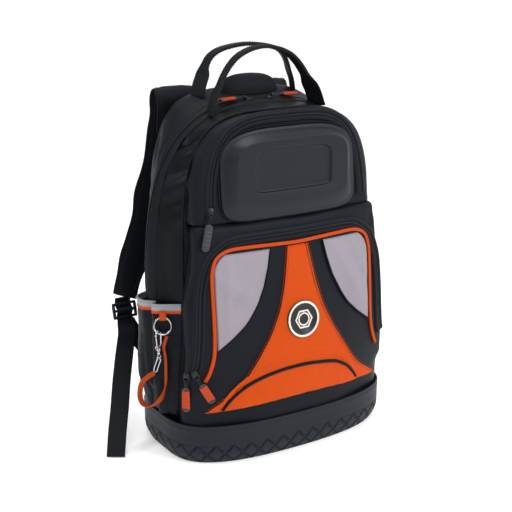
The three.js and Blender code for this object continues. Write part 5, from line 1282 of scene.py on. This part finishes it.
def lanyard_hardware():
    loop = [(1.2, 210), (1.2, 205), (1.2, 201.3)]
    loop += [(3.5 - 2.3 * math.cos(a), 201.3 - 2.3 * math.sin(a)) for a in np.linspace(0.5, 2.6, 7)]
    loop += [(5.8, 201.3), (4.4, 205.5), (2.8, 208.5), (2.8, 210)]
    route = spline([TAB_AT + TAB_OUT * o + [0, 0, z] for o, z in loop], 80)
    tangent = unit(np.gradient(route, axis=0))
    section = strap_section(9, 1.2, 0.25, 24)
    normal = unit(np.cross(tangent, TAB_ALONG))
    p = route[:, None] + TAB_ALONG * section[None, :, :1] + normal[:, None] * section[None, :, 1:]
    joined("ring_tab", [skin(p)], ORANGE_MAT,
           replaces="lanyard_tab")
    a = np.linspace(0, 2 * np.pi, 72, endpoint=False)[:, None]
    centre = RING_TOP + RING_DOWN * RING_R
    wire = centre + RING_R * (RING_DOWN * np.cos(a) + TAB_ALONG * np.sin(a))
    joined("split_ring", [tube(wire, 2.6, 14, closed=True, up=np.cross(RING_DOWN, TAB_ALONG))], STEEL_MAT,
           replaces="lanyard_ring")
    arc = [(5.2 * math.cos(t), 0, -6.5 + 5.2 * math.sin(t)) for t in np.linspace(np.pi, 0, 9)]
    bend = spline([(-1.5, 0, -24.5), (-4.4, 0, -22), (-5.2, 0, -17)] + arc + [(5.2, 0, -8.2)], 70)
    parts = [tube(bend, 2.6, 14, up=(0, 1, 0)),
             lathe([(1, -32.4), (1, -30), (2.4, -30), (3.2, -29.2), (3.2, -27.6), (2.8, -27.2),
                    (3.2, -26.8), (3.2, -25),
                    (2.4, -24.4), (0.2, -24.4)])]
    parts += [rounded_box((3.9, 0.9, 5.4), (2.95, s * 1.85, -24.2), 5, (10, 20)) for s in (-1, 1)]
    parts.append(tube(np.array([(3.4, y, -22.6) for y in np.linspace(-2.3, 2.3, 5)]), 1.1, 10,
                      up=(0, 0, 1)))
    placed("snap_hook_body", parts, HOOK, STEEL_MAT, replaces="snap_hook")
    gate = [tube(np.linspace((3.4, 0, -22.0), (4.95, 0, -9.0), 12), 1.9, 12, up=(0, 1, 0)),
            tube(np.array([(3.4, y, -22.6) for y in np.linspace(-0.95, 0.95, 5)]), 3.0, 16, up=(0, 0, 1))]
    placed("gate_bar", gate, HOOK, STEEL_MAT, body="hook_gate", replaces="hook_gate")
    eye = np.array([(3.5 * math.cos(t), 0, -38.5 + 3.5 * math.sin(t)) for t in a[:, 0]])
    neck = lathe([(1.6, -35.0), (2.3, -34.4), (2.3, -31.6), (1.9, -31.0), (1.2, -31.0)])
    joined("swivel_eye", [moved(q, HOOK) for q in (neck, tube(eye, 1.9, 12, closed=True, up=(0, 1, 0)))],
           STEEL_MAT, replaces="hook_swivel")
    turns = np.linspace(np.pi / 2, 3 * np.pi / 2, 16)
    side = [(0.5 + 2.7 * math.cos(t), 2.7 * math.sin(t), 0) for t in turns]
    side += [(18.4 - 2.7 * math.cos(t), -2.7 * math.sin(t), 0) for t in turns]
    return joined("chain_link", [moved(tube(np.array(side), 1.7, 12, closed=True, up=(0, 0, 1)), LINK)],
                  STEEL_MAT,
           replaces="lanyard_link")


def lanyard(link):
    path = spline(LANYARD, 220)
    t = np.linspace(0, 1, len(path))[:, None]
    across = lerp(np.array([0.1, 1, 0]), np.array([1, -0.2, 0]), smooth(t, 0.3, 0.52))
    across = lerp(across, np.array([0.2, -1, 0]), smooth(t, 0.74, 0.92))
    across, normal = square_on(path, across)
    length = np.linalg.norm(np.diff(path, axis=0), axis=1).sum()
    rib = 1 + 0.16 * np.cos(2 * np.pi * t * length / 2.6)
    p = ribbon(path, across, normal, strap_section(7.5, 2.1, 0.3, 24), rib[..., None])
    band = joined("lanyard_band", [skin(p)], LANYARD_MAT,
                  replaces="lanyard")


main_compartment()
main_zip()
upper_pocket()
zip_on_face("upper_zip", upper_zip_route(), upper_face_y, "upper_zip")
hard_shell()
lower_pocket()
zip_on_face("lower_zip", lower_zip_route(), face_y, "lower_zip")
piping()
front_panels()
arch_pocket()
badge()
boot()
handle("handle_front", 88, -4, 6, 12, -28, FRONT_HANDLE, "front_handle")
handle("handle_rear", 78, 45, 0, -18, 18, REAR_HANDLE, "rear_handle")
top_pad()
back_panel()
for side, word in ((-1, "left"), (1, "right")):
    shoulder_strap(side, word)
    side_pocket("front", SEAM_Y + 1.5, -5, side, word, 81)
    side_pocket("rear", -3, 44, side, word, 91)
webbing_and_buckles()
pull_and_slider("main_left", 13, 28, 10, 4, GRIP_MAT, "orange_grip")
pull_and_slider("main_right", 13, 28, 10, 4, GRIP_MAT, "orange_grip")
pull_and_slider("upper", 9, 36, 11, 3.4, GREY_GRIP, "grey_grip")
pull_and_slider("lower_inner", 9, 30, 11, 3.6, GRIP_MAT, "orange_grip")
pull_and_slider("lower_outer", 9, 34, 11, 3.6, GRIP_MAT, "orange_grip")

lanyard(lanyard_hardware())
